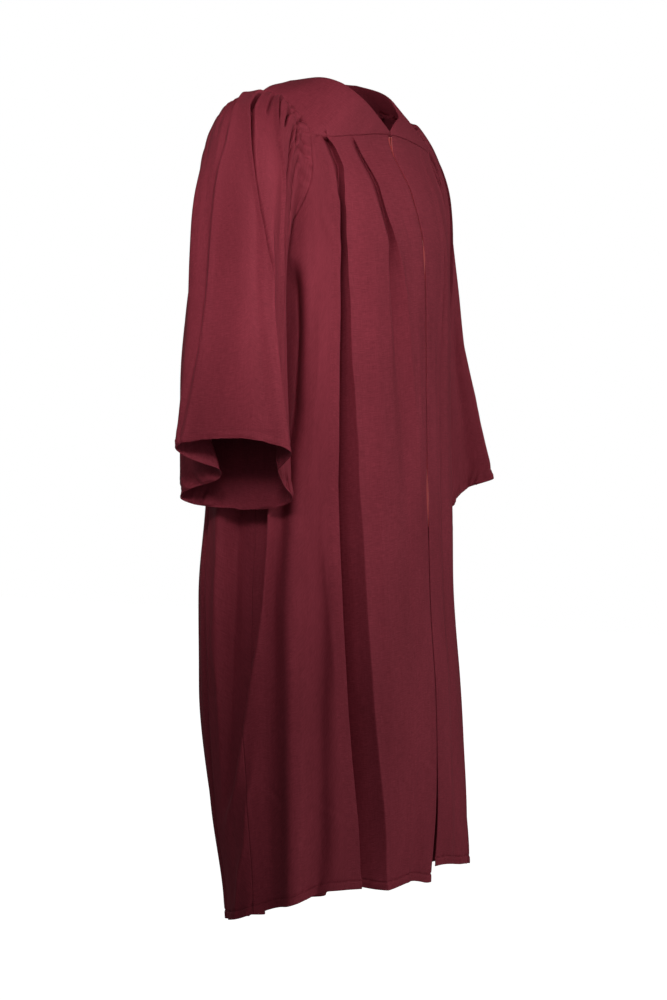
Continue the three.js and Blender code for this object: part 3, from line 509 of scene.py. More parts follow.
class Nodes(Tree):
    def __init__(self, name):
        self.material = bpy.data.materials.new(name)
        super().__init__(self.material)
        self.shader = self.add("ShaderNodeBsdfPrincipled")
        self.add("ShaderNodeOutputMaterial", {0: self.shader.outputs[0]})

    def link(self, source, key):
        self.tree.links.new(source, self.shader.inputs[key])

    def colours(self, source, low, high):
        ramp = self.add("ShaderNodeValToRGB", {"Fac": source})
        ramp.color_ramp.elements[0].color = low
        ramp.color_ramp.elements[1].color = high
        self.link(ramp.outputs[0], "Base Color")
        return ramp.color_ramp.elements

    def bump(self, strength, distance, height):
        rise = self.add("ShaderNodeBump", {"Strength": strength, "Distance": distance, "Height": height})
        self.link(rise.outputs[0], "Normal")


def linear(hexColour):
    parts = [int(hexColour[i:i + 2], 16) / 255 for i in (1, 3, 5)]
    return [c / 12.92 if c <= 0.04045 else ((c + 0.055) / 1.055) ** 2.4 for c in parts] + [1.0]


clothLook = {
    "dark": "#641f29", "base": "#7a2a36", "light": "#8e3542",
    "roughness": 0.7, "sheen": 0.02, "sheenRoughness": 0.5, "slubDepth": 0.00012,
}


# Satin polyester: crossed threads with long thin slubs along both, faint cloudy shade.
def clothMaterial(name, look):
    n = Nodes(name)
    uv = n.add("ShaderNodeUVMap", uv_map="cloth").outputs[0]
    weft = n.noise(uv, 1.0, (130, 1500, 1), 3, 0.6)  # threads across: long in u, thin in v
    warp = n.noise(uv, 1.0, (1700, 60, 1), 3, 0.6)
    slub = n.noise(uv, 1.0, (45, 700, 1), 2, 0.5)
    streak = n.noise(uv, 1.0, (270, 7, 1), 2, 0.5)
    cloud = n.noise(uv, 1.0, (9, 4, 1), 3, 0.5)
    threads = n.maths("ADD", n.maths("MULTIPLY", weft, 0.6), n.maths("MULTIPLY", warp, 0.4))
    mixed = n.maths("ADD", n.maths("MULTIPLY", threads, 0.58), n.maths("MULTIPLY", cloud, 0.17))
    mixed = n.maths("ADD", mixed, n.maths("MULTIPLY", slub, 0.17))
    mixed = n.maths("ADD", mixed, n.maths("MULTIPLY", streak, 0.06))
    shade = n.ramp(mixed, 0.38, 0.62, 0.0, 1.0)
    stops = n.colours(shade, linear(look["dark"]), linear(look["light"]))
    stops.new(0.5).color = linear(look["base"])
    n.link(n.ramp(threads, 0.3, 0.7, look["roughness"] + 0.07, look["roughness"] - 0.05), "Roughness")
    height = n.maths("ADD", n.maths("MULTIPLY", threads, 0.7), n.maths("MULTIPLY", slub, 0.5))
    n.bump(0.55, look["slubDepth"], height)
    n.shader.inputs["Sheen Weight"].default_value = look["sheen"]
    n.shader.inputs["Sheen Roughness"].default_value = look["sheenRoughness"]
    n.shader.inputs["Sheen Tint"].default_value = linear("#b0404c")
    n.shader.inputs["Specular IOR Level"].default_value = 0.1
    return n.material


tapeLook = {"base": "#b51c1b", "dark": "#86141a", "roughness": 0.72, "ribs": 1400}


# Zip tape: tight ribs across the tape.
def tapeMaterial(name, look):
    n = Nodes(name)
    uv = n.add("ShaderNodeUVMap", uv_map="cloth").outputs[0]
    along = n.stretched(uv, (1, 1, 1))
    waves = {"Vector": along, "Scale": look["ribs"] / 6.3, "Distortion": 0.6, "Detail": 1.0}
    ribs = n.add("ShaderNodeTexWave", waves, wave_type="BANDS", bands_direction="Y").outputs["Fac"]
    grain = n.noise(uv, 1.0, (1800, 500, 1), 2, 0.6)
    shade = n.maths("ADD", n.maths("MULTIPLY", ribs, 0.4), n.maths("MULTIPLY", grain, 0.6))
    n.colours(n.ramp(shade, 0.25, 0.75, 0.0, 1.0), linear(look["dark"]), linear(look["base"]))
    n.link(n.ramp(grain, 0.2, 0.8, look["roughness"] + 0.06, look["roughness"] - 0.06), "Roughness")
    n.bump(0.6, 0.0002, shade)
    n.shader.inputs["Sheen Weight"].default_value = 0.3
    return n.material


# Plastic or enamel in red: slight mottling and wear on Object coordinates.
def hardMaterial(name, base, roughness, metallic):
    n = Nodes(name)
    where = n.add("ShaderNodeTexCoord").outputs["Object"]
    grain = n.noise(where, 1.0, (900, 900, 900), 3, 0.6)
    high = np.array(linear(base))
    low = high * (0.75, 0.75, 0.75, 1)
    n.colours(n.ramp(grain, 0.3, 0.7, 0.0, 1.0), low, high)
    n.link(n.ramp(grain, 0.3, 0.7, roughness + 0.08, roughness - 0.05), "Roughness")
    n.bump(0.3, 0.0001, grain)
    n.shader.inputs["Metallic"].default_value = metallic
    return n.material


cloth = clothMaterial("maroonSatin", clothLook)
threadLook = dict(clothLook, dark="#5a1f28", base="#702a34", light="#85323d", sheen=0.3)
threadCloth = clothMaterial("maroonThread", threadLook)
tapeCloth = tapeMaterial("redTape", tapeLook)
coilRed = hardMaterial("redCoil", "#a5161f", 0.42, 0.0)
sliderRed = hardMaterial("redEnamel", "#9a1620", 0.34, 0.6)
print("robe: materials made")


# Guide lines that the columns of a panel follow, as shares of its width and turns at a height.
panel = {
    "columns": 150, "rows": 206, "backColumns": 190, "backRows": 150, "fall": 1180, "footZ": -1290,
    "hemWidth": 13, "hemPucker": 1.1, "hemWave": 11,
    "topSteps": [1.2, 1.6, 2.4, 3.4, 4.4],
    "hemSteps": [1, 1.4, 1.8, 2.2, 2.4, 2.2, 1.4, 1, 0.8, 1, 1.6, 3, 4],
}
innerGuide = {
    -1: asTable("z turn", [(-84, 21.4), (-100, 20.2), (-153, 19.4), (-200, 19.8), (-247, 18), (-293, 14.6),
                           (-340, 12.8), (-387, 11.2), (-434, 10), (-481, 9.4), (-651, 9), (-1290, 10)]),
    1: asTable("z turn", [(-84, 20.6), (-110, 18.8), (-200, 18.6), (-270, 16.6), (-350, 13.6), (-480, 11.4),
                          (-700, 10.6), (-1310, 11)]),
}
guideShares = {"inner": 0.43, "innerFar": 0.5, "outer": 0.8, "outerFar": 0.93}


def guides(front, z, side):
    if front:
        inner, outer = readTable(innerGuide[side], z)["turn"], readTable(pleats[side][0], z)
        innerFar = inner + np.minimum(9, readTable(pleats[side][1], z)["far"])
        outerFar = outer["turn"] + outer["far"]
        turns = [0 * z, inner, innerFar, outer["turn"], outerFar, cut["underarmTurn"] + 0 * z]
        return [0, *guideShares.values(), 2], turns
    flutes = backFlutes[side][::-1]
    shares = [(180 - top) / (180 - cut["backTurn"]) for top, foot, depth in flutes]
    turns = [mix(top, foot, backSpread(z)) for top, foot, depth in flutes]
    return [0, *shares, 2], [180 + 0 * z, *turns, cut["underarmTurn"] + 0 * z]


def turnAtShare(front, share, z, side):
    shares, turns = guides(front, z, side)
    turn = turns[0]
    for k in range(len(shares) - 1):
        q = (share - shares[k]) / (shares[k + 1] - shares[k])
        turn = np.where(q > 0, mix(turns[k], turns[k + 1], q), turn)
    return turn


def shareAtTurn(front, turn, z, side):
    shares, turns = guides(front, z, side)
    share = 0 * turn
    for k in range(len(shares) - 1):
        q = (turn - turns[k]) / (turns[k + 1] - turns[k])
        share = np.where(q > 0, mix(shares[k], shares[k + 1], q), share)
    return share


# Top line of a panel: along the yoke seam (p up to 1), then down the armhole (p from 1 to 2).
def panelTop(front, p):
    seamTurns = (0, cut["frontTurn"]) if front else (180, cut["backTurn"])
    onSeam = mix(*seamTurns, np.clip(p, 0, 1))
    seamZ = readTable(frontSeam if front else backSeam, onSeam)["z"]
    armTurn, armZ = armholeAt(front, np.clip(p - 1, 0, 1))
    return np.where(p <= 1, onSeam, armTurn), np.where(p <= 1, seamZ, armZ)


# Half of the body: columns hang from the top line and follow the pleats or flutes to the hem.
def bodyHalf(front, side, columns, rows):
    p = np.linspace(0, 2, 3000)
    turn, z = panelTop(front, p)
    share = shareAtTurn(front, turn, z, side)
    if front:
        inPleats = 2.2 * (share > 0.42) * (share < 0.5) + 3.4 * (share > 0.79) * (share < 0.94)
        weight = 1 + 1.2 * hump(share / 0.03) + inPleats
        for edge in guideShares.values():
            weight = weight + 4 * hump((share - edge) / 0.008)
    else:
        weight = 1 + 0 * share
    gone = np.concatenate([[0], np.cumsum(np.abs(np.diff(share)) * (weight[1:] + weight[:-1]) / 2 + 2e-4)])
    p = np.interp(np.linspace(0, gone[-1], columns), gone, p)
    turn, z = panelTop(front, p)
    share = shareAtTurn(front, turn, z, side)
    foot = turnAtShare(front, share, np.full(columns, float(panel["footZ"])), side)
    hem = readTable(hemLine[side], foot)["z"]
    steps = denseEnds(panel["fall"], rows, panel["topSteps"], panel["hemSteps"])[:, None]
    height = mix(z[None], hem[None], steps)
    where = turnAtShare(front, share[None], height, side)
    return bodyPoint(where, height, side)


# Hem: cloth turned up and sewn, so the band stands proud, its stitch line sinks in, and small
# puckers lean across it. Lengths are in mm along the hem and up from its edge.
def hemShift(along, up, width, pucker, wave, seed):
    lean = along + 0.5 * up
    size = 0.35 + 0.65 * (0.5 + 0.5 * softNoise(along / 60, 0 * up, seed))
    ruffle = softNoise(lean / wave, 0 * up + 3, seed + 1)
    ruffle = ruffle + 0.6 * softNoise(lean / (wave * 0.5), 0 * up + 9, seed + 2)
    band = smooth(up / 4) * (1 - smooth((up - width) / 6))
    over = smooth((width + 26 - up) / 26) * smooth((up - width) / 2)
    groove = -1.7 * hump((up - width) / 1.3)
    return 0.45 * (1 - smooth((up - width) / 1.6)) + groove + pucker * ruffle * size * (band + 0.55 * over)


def withHem(points, closed, flip, width, pucker, wave, seed):
    across, down = clothLengths(points, closed)
    if closed:
        across, down = across[:, :-1], down[:, :-1]
    up = down[-1:] - down
    shift = hemShift(across, up, width, pucker, wave, seed)
    return points + gridNormals(points, closed, flip) * (shift * (up < 60))[..., None]


stitch = {
    "pitch": 3.1, "length": 2.3, "radius": 0.3, "lift": 0.3, "sides": 6, "slope": 0.6,
    "along": [-0.5, -0.28, 0.28, 0.5], "rise": [-0.7, 1, 1, -0.7], "taper": [0.08, 1, 1, 0.08],
}


# Row of stitches in the hem's groove: a line on the grid at one distance from the edge, and short
# lengths of thread along it whose ends dip into the cloth.
def hemStitches(name, points, closed, flip, width):
    down = clothLengths(points, closed)[1]
    up = down[-1:] - down
    both = np.concatenate([points, gridNormals(points, closed, flip)], axis=-1)
    count = points.shape[1]
    line = np.array([[np.interp(width, up[::-1, c], both[::-1, c, k]) for k in range(6)]
                     for c in range(count)])
    if closed:
        line = np.concatenate([line, line[:1]])
    gone = np.concatenate([[0], np.cumsum(np.linalg.norm(np.diff(line[:, :3], axis=0), axis=1))])
    places = np.arange(stitch["pitch"] / 2, gone[-1] - stitch["pitch"] / 2, stitch["pitch"])

    def read(at, start):
        return np.stack([np.interp(at, gone, line[:, start + k]) for k in range(3)], axis=-1)

    along = read(places + stitch["slope"], 0) - read(places - stitch["slope"], 0)
    along = unit(along)
    out = read(places, 3)
    out = unit(out - along * (out * along).sum(-1, keepdims=True))
    beside = np.cross(along, out)
    reach = np.array(stitch["along"]) * stitch["length"]
    lift = np.array(stitch["rise"]) * stitch["lift"]
    radius = np.array(stitch["taper"]) * stitch["radius"]
    angles = np.arange(stitch["sides"]) * 2 * math.pi / stitch["sides"]
    spot = read(places, 0)[:, None, None] + along[:, None, None] * reach[None, :, None, None]
    ring = beside[:, None, None] * np.cos(angles)[None, None, :, None]
    ring = ring + out[:, None, None] * np.sin(angles)[None, None, :, None]
    vertices = spot + out[:, None, None] * lift[None, :, None, None] + ring * radius[None, :, None, None]
    index = np.arange(vertices[..., 0].size).reshape(vertices.shape[:3])
    turned = np.roll(index, -1, axis=2)
    faces = np.stack([index[:, :-1], index[:, 1:], turned[:, 1:], turned[:, :-1]], axis=-1).reshape(-1, 4)
    lengthwise = places[:, None, None] + reach[None, :, None] + 0 * angles
    spread = np.stack([lengthwise, 0 * spot[..., 0] + angles], axis=-1) * mm
    piece = putMesh(name, vertices.reshape(-1, 3), faces, spread.reshape(-1, 2)[faces.ravel()])
    piece.data.materials.append(threadCloth)
    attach(piece, "root")
    return piece


# Turns the top rows under, as a seam does, and adds the seam allowance that lies inside.
def tuckTop(points, normals, depth, reach, allowance=7):
    amount = depth * np.exp(-np.arange(len(points)) / reach)
    points = points - normals * amount[:, None, None]
    back = points[0] - points[3]
    back = back / np.maximum(np.linalg.norm(back, axis=-1, keepdims=True), 1e-6)
    hidden = points[0] + back * allowance - normals[0] * 2.4
    return np.concatenate([hidden[None], points])


fronts = {}
for word, side in sides.items():
    grid = bodyHalf(True, side, panel["columns"], panel["rows"])
    grid = withHem(grid, False, -side, panel["hemWidth"], panel["hemPucker"], panel["hemWave"], 20 + side)
    fronts[side] = grid
backHalves = {side: bodyHalf(False, side, panel["backColumns"] // 2, panel["backRows"]) for side in (-1, 1)}
backGrid = np.concatenate([backHalves[-1][:, ::-1], backHalves[1][:, 1:]], axis=1)
backGrid = withHem(backGrid, False, 1, panel["hemWidth"], panel["hemPucker"], panel["hemWave"], 40)

# Openings of the zip's gap: height, half height, and how far each front edge draws aside.
zipGaps = {
    -1: [(-84, 14, 3.2), (-150, 55, 0.9), (-270, 24, 2), (-652, 38, 3), (-420, 60, 0.5)],
    1: [(-84, 18, 5.4), (-652, 32, 1.6), (-270, 24, 0.6)],
}
edgeRoll = {"reach": 2.2, "drop": 1.1}
slit = {"swing": 9, "top": -1040, "over": 230, "reach": 45}  # the right front swings aside below


def edgeAside(z, side):
    aside = 0 * z + cut["zipGap"] / 2
    for middle, half, width in zipGaps[side]:
        aside = aside + width * hump((z - middle) / half)
    return aside


# Front panels draw aside along the zip and roll in a little at their folded edge.
for word, side in sides.items():
    grid = fronts[side]
    z = grid[..., 2]
    fromCentre = np.abs(grid[..., 0] - grid[:, :1, 0])
    near = np.exp(-fromCentre / 16)
    opened = smooth((slit["top"] - z) / slit["over"])
    swing = slit["swing"] * opened * hump(fromCentre / slit["reach"]) if side < 0 else 0
    grid[..., 0] += side * edgeAside(z, side) * near + side * swing
    grid[..., 1] += edgeRoll["drop"] * hump(fromCentre / edgeRoll["reach"])
    sewn = hemStitches(f"hemStitches{word}", grid, False, -side, panel["hemWidth"])
    normals = gridNormals(grid, False, -side)
    fronts[side] = tuckTop(grid, normals, 1.2, 2)
    piece = clothPiece(f"front{word}", fronts[side], False, -side, cut["cloth"], cloth,
                       [f"front_{word.lower()}"])

sewn = hemStitches("hemStitchesBack", backGrid, False, 1, panel["hemWidth"])
backGrid = tuckTop(backGrid, gridNormals(backGrid, False, 1), 1.2, 2)
back = clothPiece("backPanel", backGrid, False, 1, cut["cloth"], cloth, ["back"])


# Yoke, one smooth piece: straight lines from the neck edge to the seams, a little domed.
yoke = {"columns": 104, "rows": 34, "dome": 5, "neckRoll": 1.6, "seamShare": 11 / 23, "lift": 0.9}


def yokeHalf(front, side):
    shares = np.linspace(0, 1, yoke["columns"])
    rows = neckFront if front else neckBack[::-1]
    neck = smoothLine([(side * x, y, right if side < 0 else left) for x, y, right, left in rows], shares)
    onSeam = np.clip(shares / yoke["seamShare"], 0, 1)
    ends = (0, cut["frontTurn"]) if front else (180, cut["backTurn"])
    turn = mix(*ends, onSeam)
    seam = sectionPoint(turn, readTable(frontSeam if front else backSeam, turn)["z"], side)
    onEdge = np.clip((shares - yoke["seamShare"]) / (1 - yoke["seamShare"]), 0, 1)
    outer = np.where((onEdge > 0)[:, None], yokeEdgeLine(front, side, onEdge), seam)
    q = denseEnds(120, yoke["rows"], [0.8, 0.8, 1, 1.6, 2.4], [0.8, 1, 1.4, 2])[:, None, None]
    grid = mix(neck[None], outer[None], q)
    bulge = (grid[..., 0] / shoulderTip[0]) ** 2 * np.sin(q[..., 0] * math.pi)
    grid[..., 2] += yoke["dome"] * bulge
    return grid


yokeGrid = np.concatenate([yokeHalf(True, -1), yokeHalf(False, -1)[:, -2::-1], yokeHalf(False, 1)[:, 1:],
                           yokeHalf(True, 1)[:, -2::-1]], axis=1)
yokeGrid[:, 0, 0] -= cut["zipGap"] / 2
yokeGrid[:, -1, 0] += cut["zipGap"] / 2
normals = gridNormals(yokeGrid, False, 1)
across, down = clothLengths(yokeGrid, False)
toEdge = down[-1:] - down
wave = softNoise(across / 55, down / 38, 61) * 1.1 + softNoise(across / 24, down / 20, 62) * 0.35
inside = smooth(down / 20) * smooth(toEdge / 20)
pucker = 0.4 * softNoise(across / 6.5, 0 * down + 2, 63) * np.exp(-toEdge / 7)
roll = -yoke["neckRoll"] * np.exp(-down / 1.6) - 1.1 * np.exp(-toEdge / 1.3)
topStitch = -0.35 * hump((down - 7) / 1.2)
lift = yoke["lift"] * smooth(down / 10)
yokeGrid = yokeGrid + normals * (wave * inside + pucker + roll + topStitch + lift)[..., None]
edge = unit(yokeGrid[-1] - yokeGrid[-4])
yokeGrid = np.concatenate([yokeGrid, (yokeGrid[-1] + 7 * edge - 3.4 * normals[-1])[None]])
yokePiece = clothPiece("yoke", yokeGrid, False, 1, cut["yokeCloth"], cloth,
                       ["yoke_front_right", "yoke_front_left", "yoke_back"])

# Sleeves: rings from the armhole to the hem, as in the solids.
sleeveLine = asTable("at outX outZ inX inZ square", [
    (0.1, 221, -17, 229, -275, 2.6), (0.2, 263, -52, 238, -295, 2.8), (0.32, 298, -116, 244, -325, 3),
    (0.45, 316, -188, 247, -375, 3.1), (0.65, 328, -310, 248, -465, 3.1), (0.85, 346, -450, 247, -575, 2.9),
    (1, 362, -552, 245, -665, 2.7)])
sleeveDepth = asTable("at outFront outBack inFront inBack tuckFront tuckBack", [
    (0.1, -90, 88, -84, 86, 0, 0), (0.2, -92, 75, -84, 86, 0, 0), (0.32, -97, 62, -86, 91, 4, 4),
    (0.45, -99, 60, -90, 115, 8, 8), (0.65, -104, 60, -96, 138, 14, 18), (0.85, -135, 70, -102, 147, 26, 44),
    (1, -171, 82, -108, 153, 42, 76)])
sleeve = {
    "columns": 372, "rows": 118, "mouthTuck": 30, "under": 4.5, "outerDrop": 72, "innerDrop": 32,
    "narrower": 24, "tuckReach": 26, "blend": 0.14, "capDrop": 5,
    "hemWidth": 15, "hemPucker": 3.4, "hemWave": 7,
    "topSteps": [1.2, 1.6, 2.2, 3],
    "hemSteps": [1, 1.4, 1.8, 2.2, 2.6, 2.4, 1.6, 1, 0.8, 1.2, 2, 3, 4],
}
# Fold lines that the columns of a sleeve follow: their turn against the share of its length. The
# cloth drops beside each towards the front (way 1) or the back (way -1), as at a pleat.
sleeveLines = {side: {name: (start, way, asTable("at turn depth valley far", rows))
                     for name, (start, way, rows) in lines.items()} for side, lines in {
    -1: {
        "back": (-9, -1, [(0, -9, 2, 2, 6), (0.05, -9, 7, 2, 6), (0.16, -8, 8, 3, 9),
            (0.29, -7, 6, 4, 12), (0.37, -11, 5, 5, 14), (0.51, -14, 5, 6, 16), (0.65, -17, 5, 6, 16),
            (0.76, -22, 4, 6, 16), (0.85, -29, 3, 6, 14), (1, -36, 2, 6, 14)]),
        "middle": (8, 1, [(0, 8, 2, 0.9, 3), (0.05, 6, 12, 1, 3.4), (0.13, 3, 22, 1.4, 4),
            (0.17, 2.4, 26, 1.6, 4), (0.25, 6, 32, 1.8, 4.6), (0.32, 10, 32, 1.8, 4.8),
            (0.39, 17, 28, 1.8, 5.4), (0.46, 28, 20, 2, 6.5), (0.54, 40, 10, 2.6, 8),
            (0.62, 54, 3, 5, 10), (0.72, 67, 0, 6, 12), (0.85, 76, 0, 6, 12), (1, 82, 0, 6, 12)]),
        "front": (26, 1, [(0, 26, 2, 0.9, 3), (0.05, 26, 14, 1, 3.4), (0.13, 27, 26, 1.6, 4),
            (0.17, 33, 34, 2.2, 5), (0.23, 43, 44, 3, 7), (0.27, 54, 46, 4, 9), (0.29, 66, 44, 4, 10),
            (0.33, 79, 36, 4, 10), (0.4, 89, 20, 4, 10), (0.5, 95, 8, 4, 10), (0.6, 98, 0, 5, 10),
            (1, 104, 0, 5, 10)]),
    },
    1: {
        "back": (-14, -1, [(0, -14, 2, 2, 6), (0.06, -14, 7, 2, 7), (0.2, -13, 8, 3, 9),
            (0.4, -15, 6, 5, 13), (0.7, -20, 5, 6, 16), (1, -30, 2, 6, 14)]),
        "middle": (10, 1, [(0, 10, 2, 0.9, 3), (0.06, 9, 10, 0.9, 3.6), (0.2, 8, 18, 0.9, 4.4),
            (0.36, 16, 17, 1, 5.4), (0.55, 34, 6, 2.6, 8), (0.75, 58, 0, 6, 12), (1, 74, 0, 6, 12)]),
        "front": (32, 1, [(0, 32, 2, 0.9, 3), (0.06, 32, 12, 0.9, 3.6), (0.16, 36, 20, 0.9, 4.8),
            (0.28, 54, 24, 1.6, 8), (0.45, 74, 6, 5, 12), (0.6, 86, 0, 6, 12), (1, 98, 0, 6, 12)]),
    },
}.items()}
# Gathers: turn at the armhole and lower down, depth, half width in degrees, and the share of the
# sleeve's length where each has melted into the cloth.
sleeveFolds = {
    -1: [(-98, -94, 4, 3.2, 0.3), (-84, -82, 6, 3, 0.36), (-71, -70, 8, 2.4, 0.3),
        (-60, -62, 8, 2.6, 0.42), (-48, -49, 6, 2.2, 0.22), (-38, -41, 9, 2.4, 0.4),
        (-28, -29, 6, 2, 0.2), (-19, -24, 8, 2.2, 0.36), (1, 1, 4, 1.6, 0.12), (15, 14, 5, 1.5, 0.1),
        (20, 22, 5, 1.6, 0.16), (40, 44, 6, 1.7, 0.13), (55, 61, 6, 1.8, 0.16), (63, 70, 6, 1.8, 0.14),
        (74, 84, 6, 2.2, 0.24), (90, 98, 4, 2.6, 0.2)],
    1: [(-94, -90, 4, 3.2, 0.3), (-80, -78, 6, 3, 0.34), (-66, -66, 8, 2.4, 0.3),
        (-54, -55, 8, 2.6, 0.42), (-42, -44, 6, 2.2, 0.28), (-31, -34, 9, 2.4, 0.38),
        (-22, -24, 5, 2, 0.2), (-4, -4, 5, 1.7, 0.16), (3, 3, 4, 1.6, 0.1), (19, 20, 6, 1.8, 0.2),
        (26, 27, 4, 1.6, 0.12), (44, 50, 7, 2, 0.3), (55, 60, 6, 2, 0.2), (66, 73, 7, 2.2, 0.3),
        (78, 86, 5, 2.4, 0.26), (90, 98, 4, 2.6, 0.24)],
}
# Short dark hollows beside the seam: start turn and share, end turn and share, depth, half width in mm.
sleeveHollows = {
    -1: [(33, 0.02, 50, 0.17, 15, 2.6), (48, 0.05, 72, 0.13, 22, 3.6), (58, 0.05, 66, 0.03, 10, 2.2),
        (72, 0.16, 86, 0.32, 14, 3.6), (13, 0.0, 14, 0.07, 9, 2), (17, 0.1, 22, 0.2, 8, 2.4),
        (-2, 0.0, -3, 0.07, 9, 2.2), (21, 0.0, 20, 0.04, 8, 2), (40, 0.0, 47, 0.05, 12, 2.2),
        (-14, 0.02, -13, 0.16, 10, 2.6), (-24, 0.0, -25, 0.12, 9, 2.6), (60, 0.13, 76, 0.22, 12, 3),
        (84, 0.1, 100, 0.28, 9, 4)],
    1: [(40, 0.02, 50, 0.14, 14, 2.8), (56, 0.03, 70, 0.11, 18, 3.2), (76, 0.1, 88, 0.26, 12, 3.8),
        (16, 0.0, 15, 0.06, 9, 2.4), (-6, 0.0, -6, 0.08, 9, 2.2), (24, 0.0, 25, 0.05, 8, 2),
        (-20, 0.0, -21, 0.12, 9, 2.6), (62, 0.12, 76, 0.2, 10, 3)],
}
# Long soft folds of a sleeve: turn at share 0.15 and at the hem, height, half width, start, end.
sleeveSwells = {
    -1: [(22, 30, -5, 8, 0.3, 1.2), (-2, 8, 4, 9, 0.25, 1.2), (44, 60, 5, 7, 0.4, 1.2),
        (-28, -30, -4, 8, 0.2, 1.2), (-56, -50, 5, 9, 0.2, 1.2), (70, 84, -6, 6, 0.55, 1.2),
        (-78, -80, -5, 8, 0.3, 1.2), (10, 14, -3, 5, 0.62, 1.3)],
    1: [(24, 30, -5, 8, 0.25, 1.2), (0, 6, 4, 9, 0.25, 1.2), (48, 62, 5, 7, 0.4, 1.2),
        (-34, -32, -4, 8, 0.2, 1.2), (-60, -54, 5, 9, 0.2, 1.2), (68, 80, -6, 6, 0.55, 1.2),
        (-80, -82, -5, 8, 0.3, 1.2), (14, 18, -3, 5, 0.62, 1.3)],
}


def turnGap(turn, line):
    return (turn - line + 540) % 360 - 180


# Ring point: a squared ellipse whose front, back, outer and inner sides come from the tables.
def ringPoint(turn, at, side):
    r = {**readTable(sleeveLine, at), **readTable(sleeveDepth, at)}
    hang = smooth(at) if side > 0 else 0 * at
    slim = sleeve["narrower"] * np.sin(math.pi / 2 * np.minimum(2, at / 0.4)) if side > 0 else 0 * at
    c = signedPower(np.cos(turn * radians), 2 / r["square"])
    s = signedPower(np.sin(turn * radians), 2 / r["square"])
    outwards = (1 + c) / 2
    tuck = r["tuckFront"] * hump(turnGap(turn, 90) / sleeve["tuckReach"])
    tuck = tuck - r["tuckBack"] * hump(turnGap(turn, 270) / sleeve["tuckReach"])
    front, rear = mix(r["inFront"], r["outFront"], outwards), mix(r["inBack"], r["outBack"], outwards)
    z = mix(r["inZ"] - sleeve["innerDrop"] * hang, r["outZ"] - sleeve["outerDrop"] * hang, outwards)
    x = side * mix(r["inX"], r["outX"] - slim, outwards)
    return np.stack([x, mix(rear, front, (1 + s) / 2) + tuck, z], axis=-1)


# Turn of each column at a share of the sleeve: straight between the fold lines that it follows.
def columnTurn(place, at, side):
    lines = sleeveLines[side].values()
    places = [-180, -112, *[line[0] for line in lines], 112, 180]
    turns = [-180 + 0 * at, -112 + 0 * at, *[readTable(line[2], at)["turn"] for line in lines]]
    turns = [*turns, 112 + 0 * at, 180 + 0 * at]
    turn = turns[0]
    for k in range(len(places) - 1):
        q = (place - places[k]) / (places[k + 1] - places[k])
        turn = np.where(q > 0, mix(turns[k], turns[k + 1], q), turn)
    return turn


def hollow(turn, at, ends):  # valley along a short straight line on the sleeve
    turnA, atA, turnB, atB, depth, width = ends
    x, y = (turn - turnA) * sleeveDegree, (at - atA) * sleeveLength
    dx, dy = (turnB - turnA) * sleeveDegree, (atB - atA) * sleeveLength
    along = np.clip((x * dx + y * dy) / (dx * dx + dy * dy), 0, 1)
    away = np.hypot(x - along * dx, y - along * dy)
    held = 0.35 + 0.65 * np.sin(math.pi * np.clip(along, 0.05, 0.95))
    return -1.5 * depth * np.exp(-(away / width) ** 1.5) * held


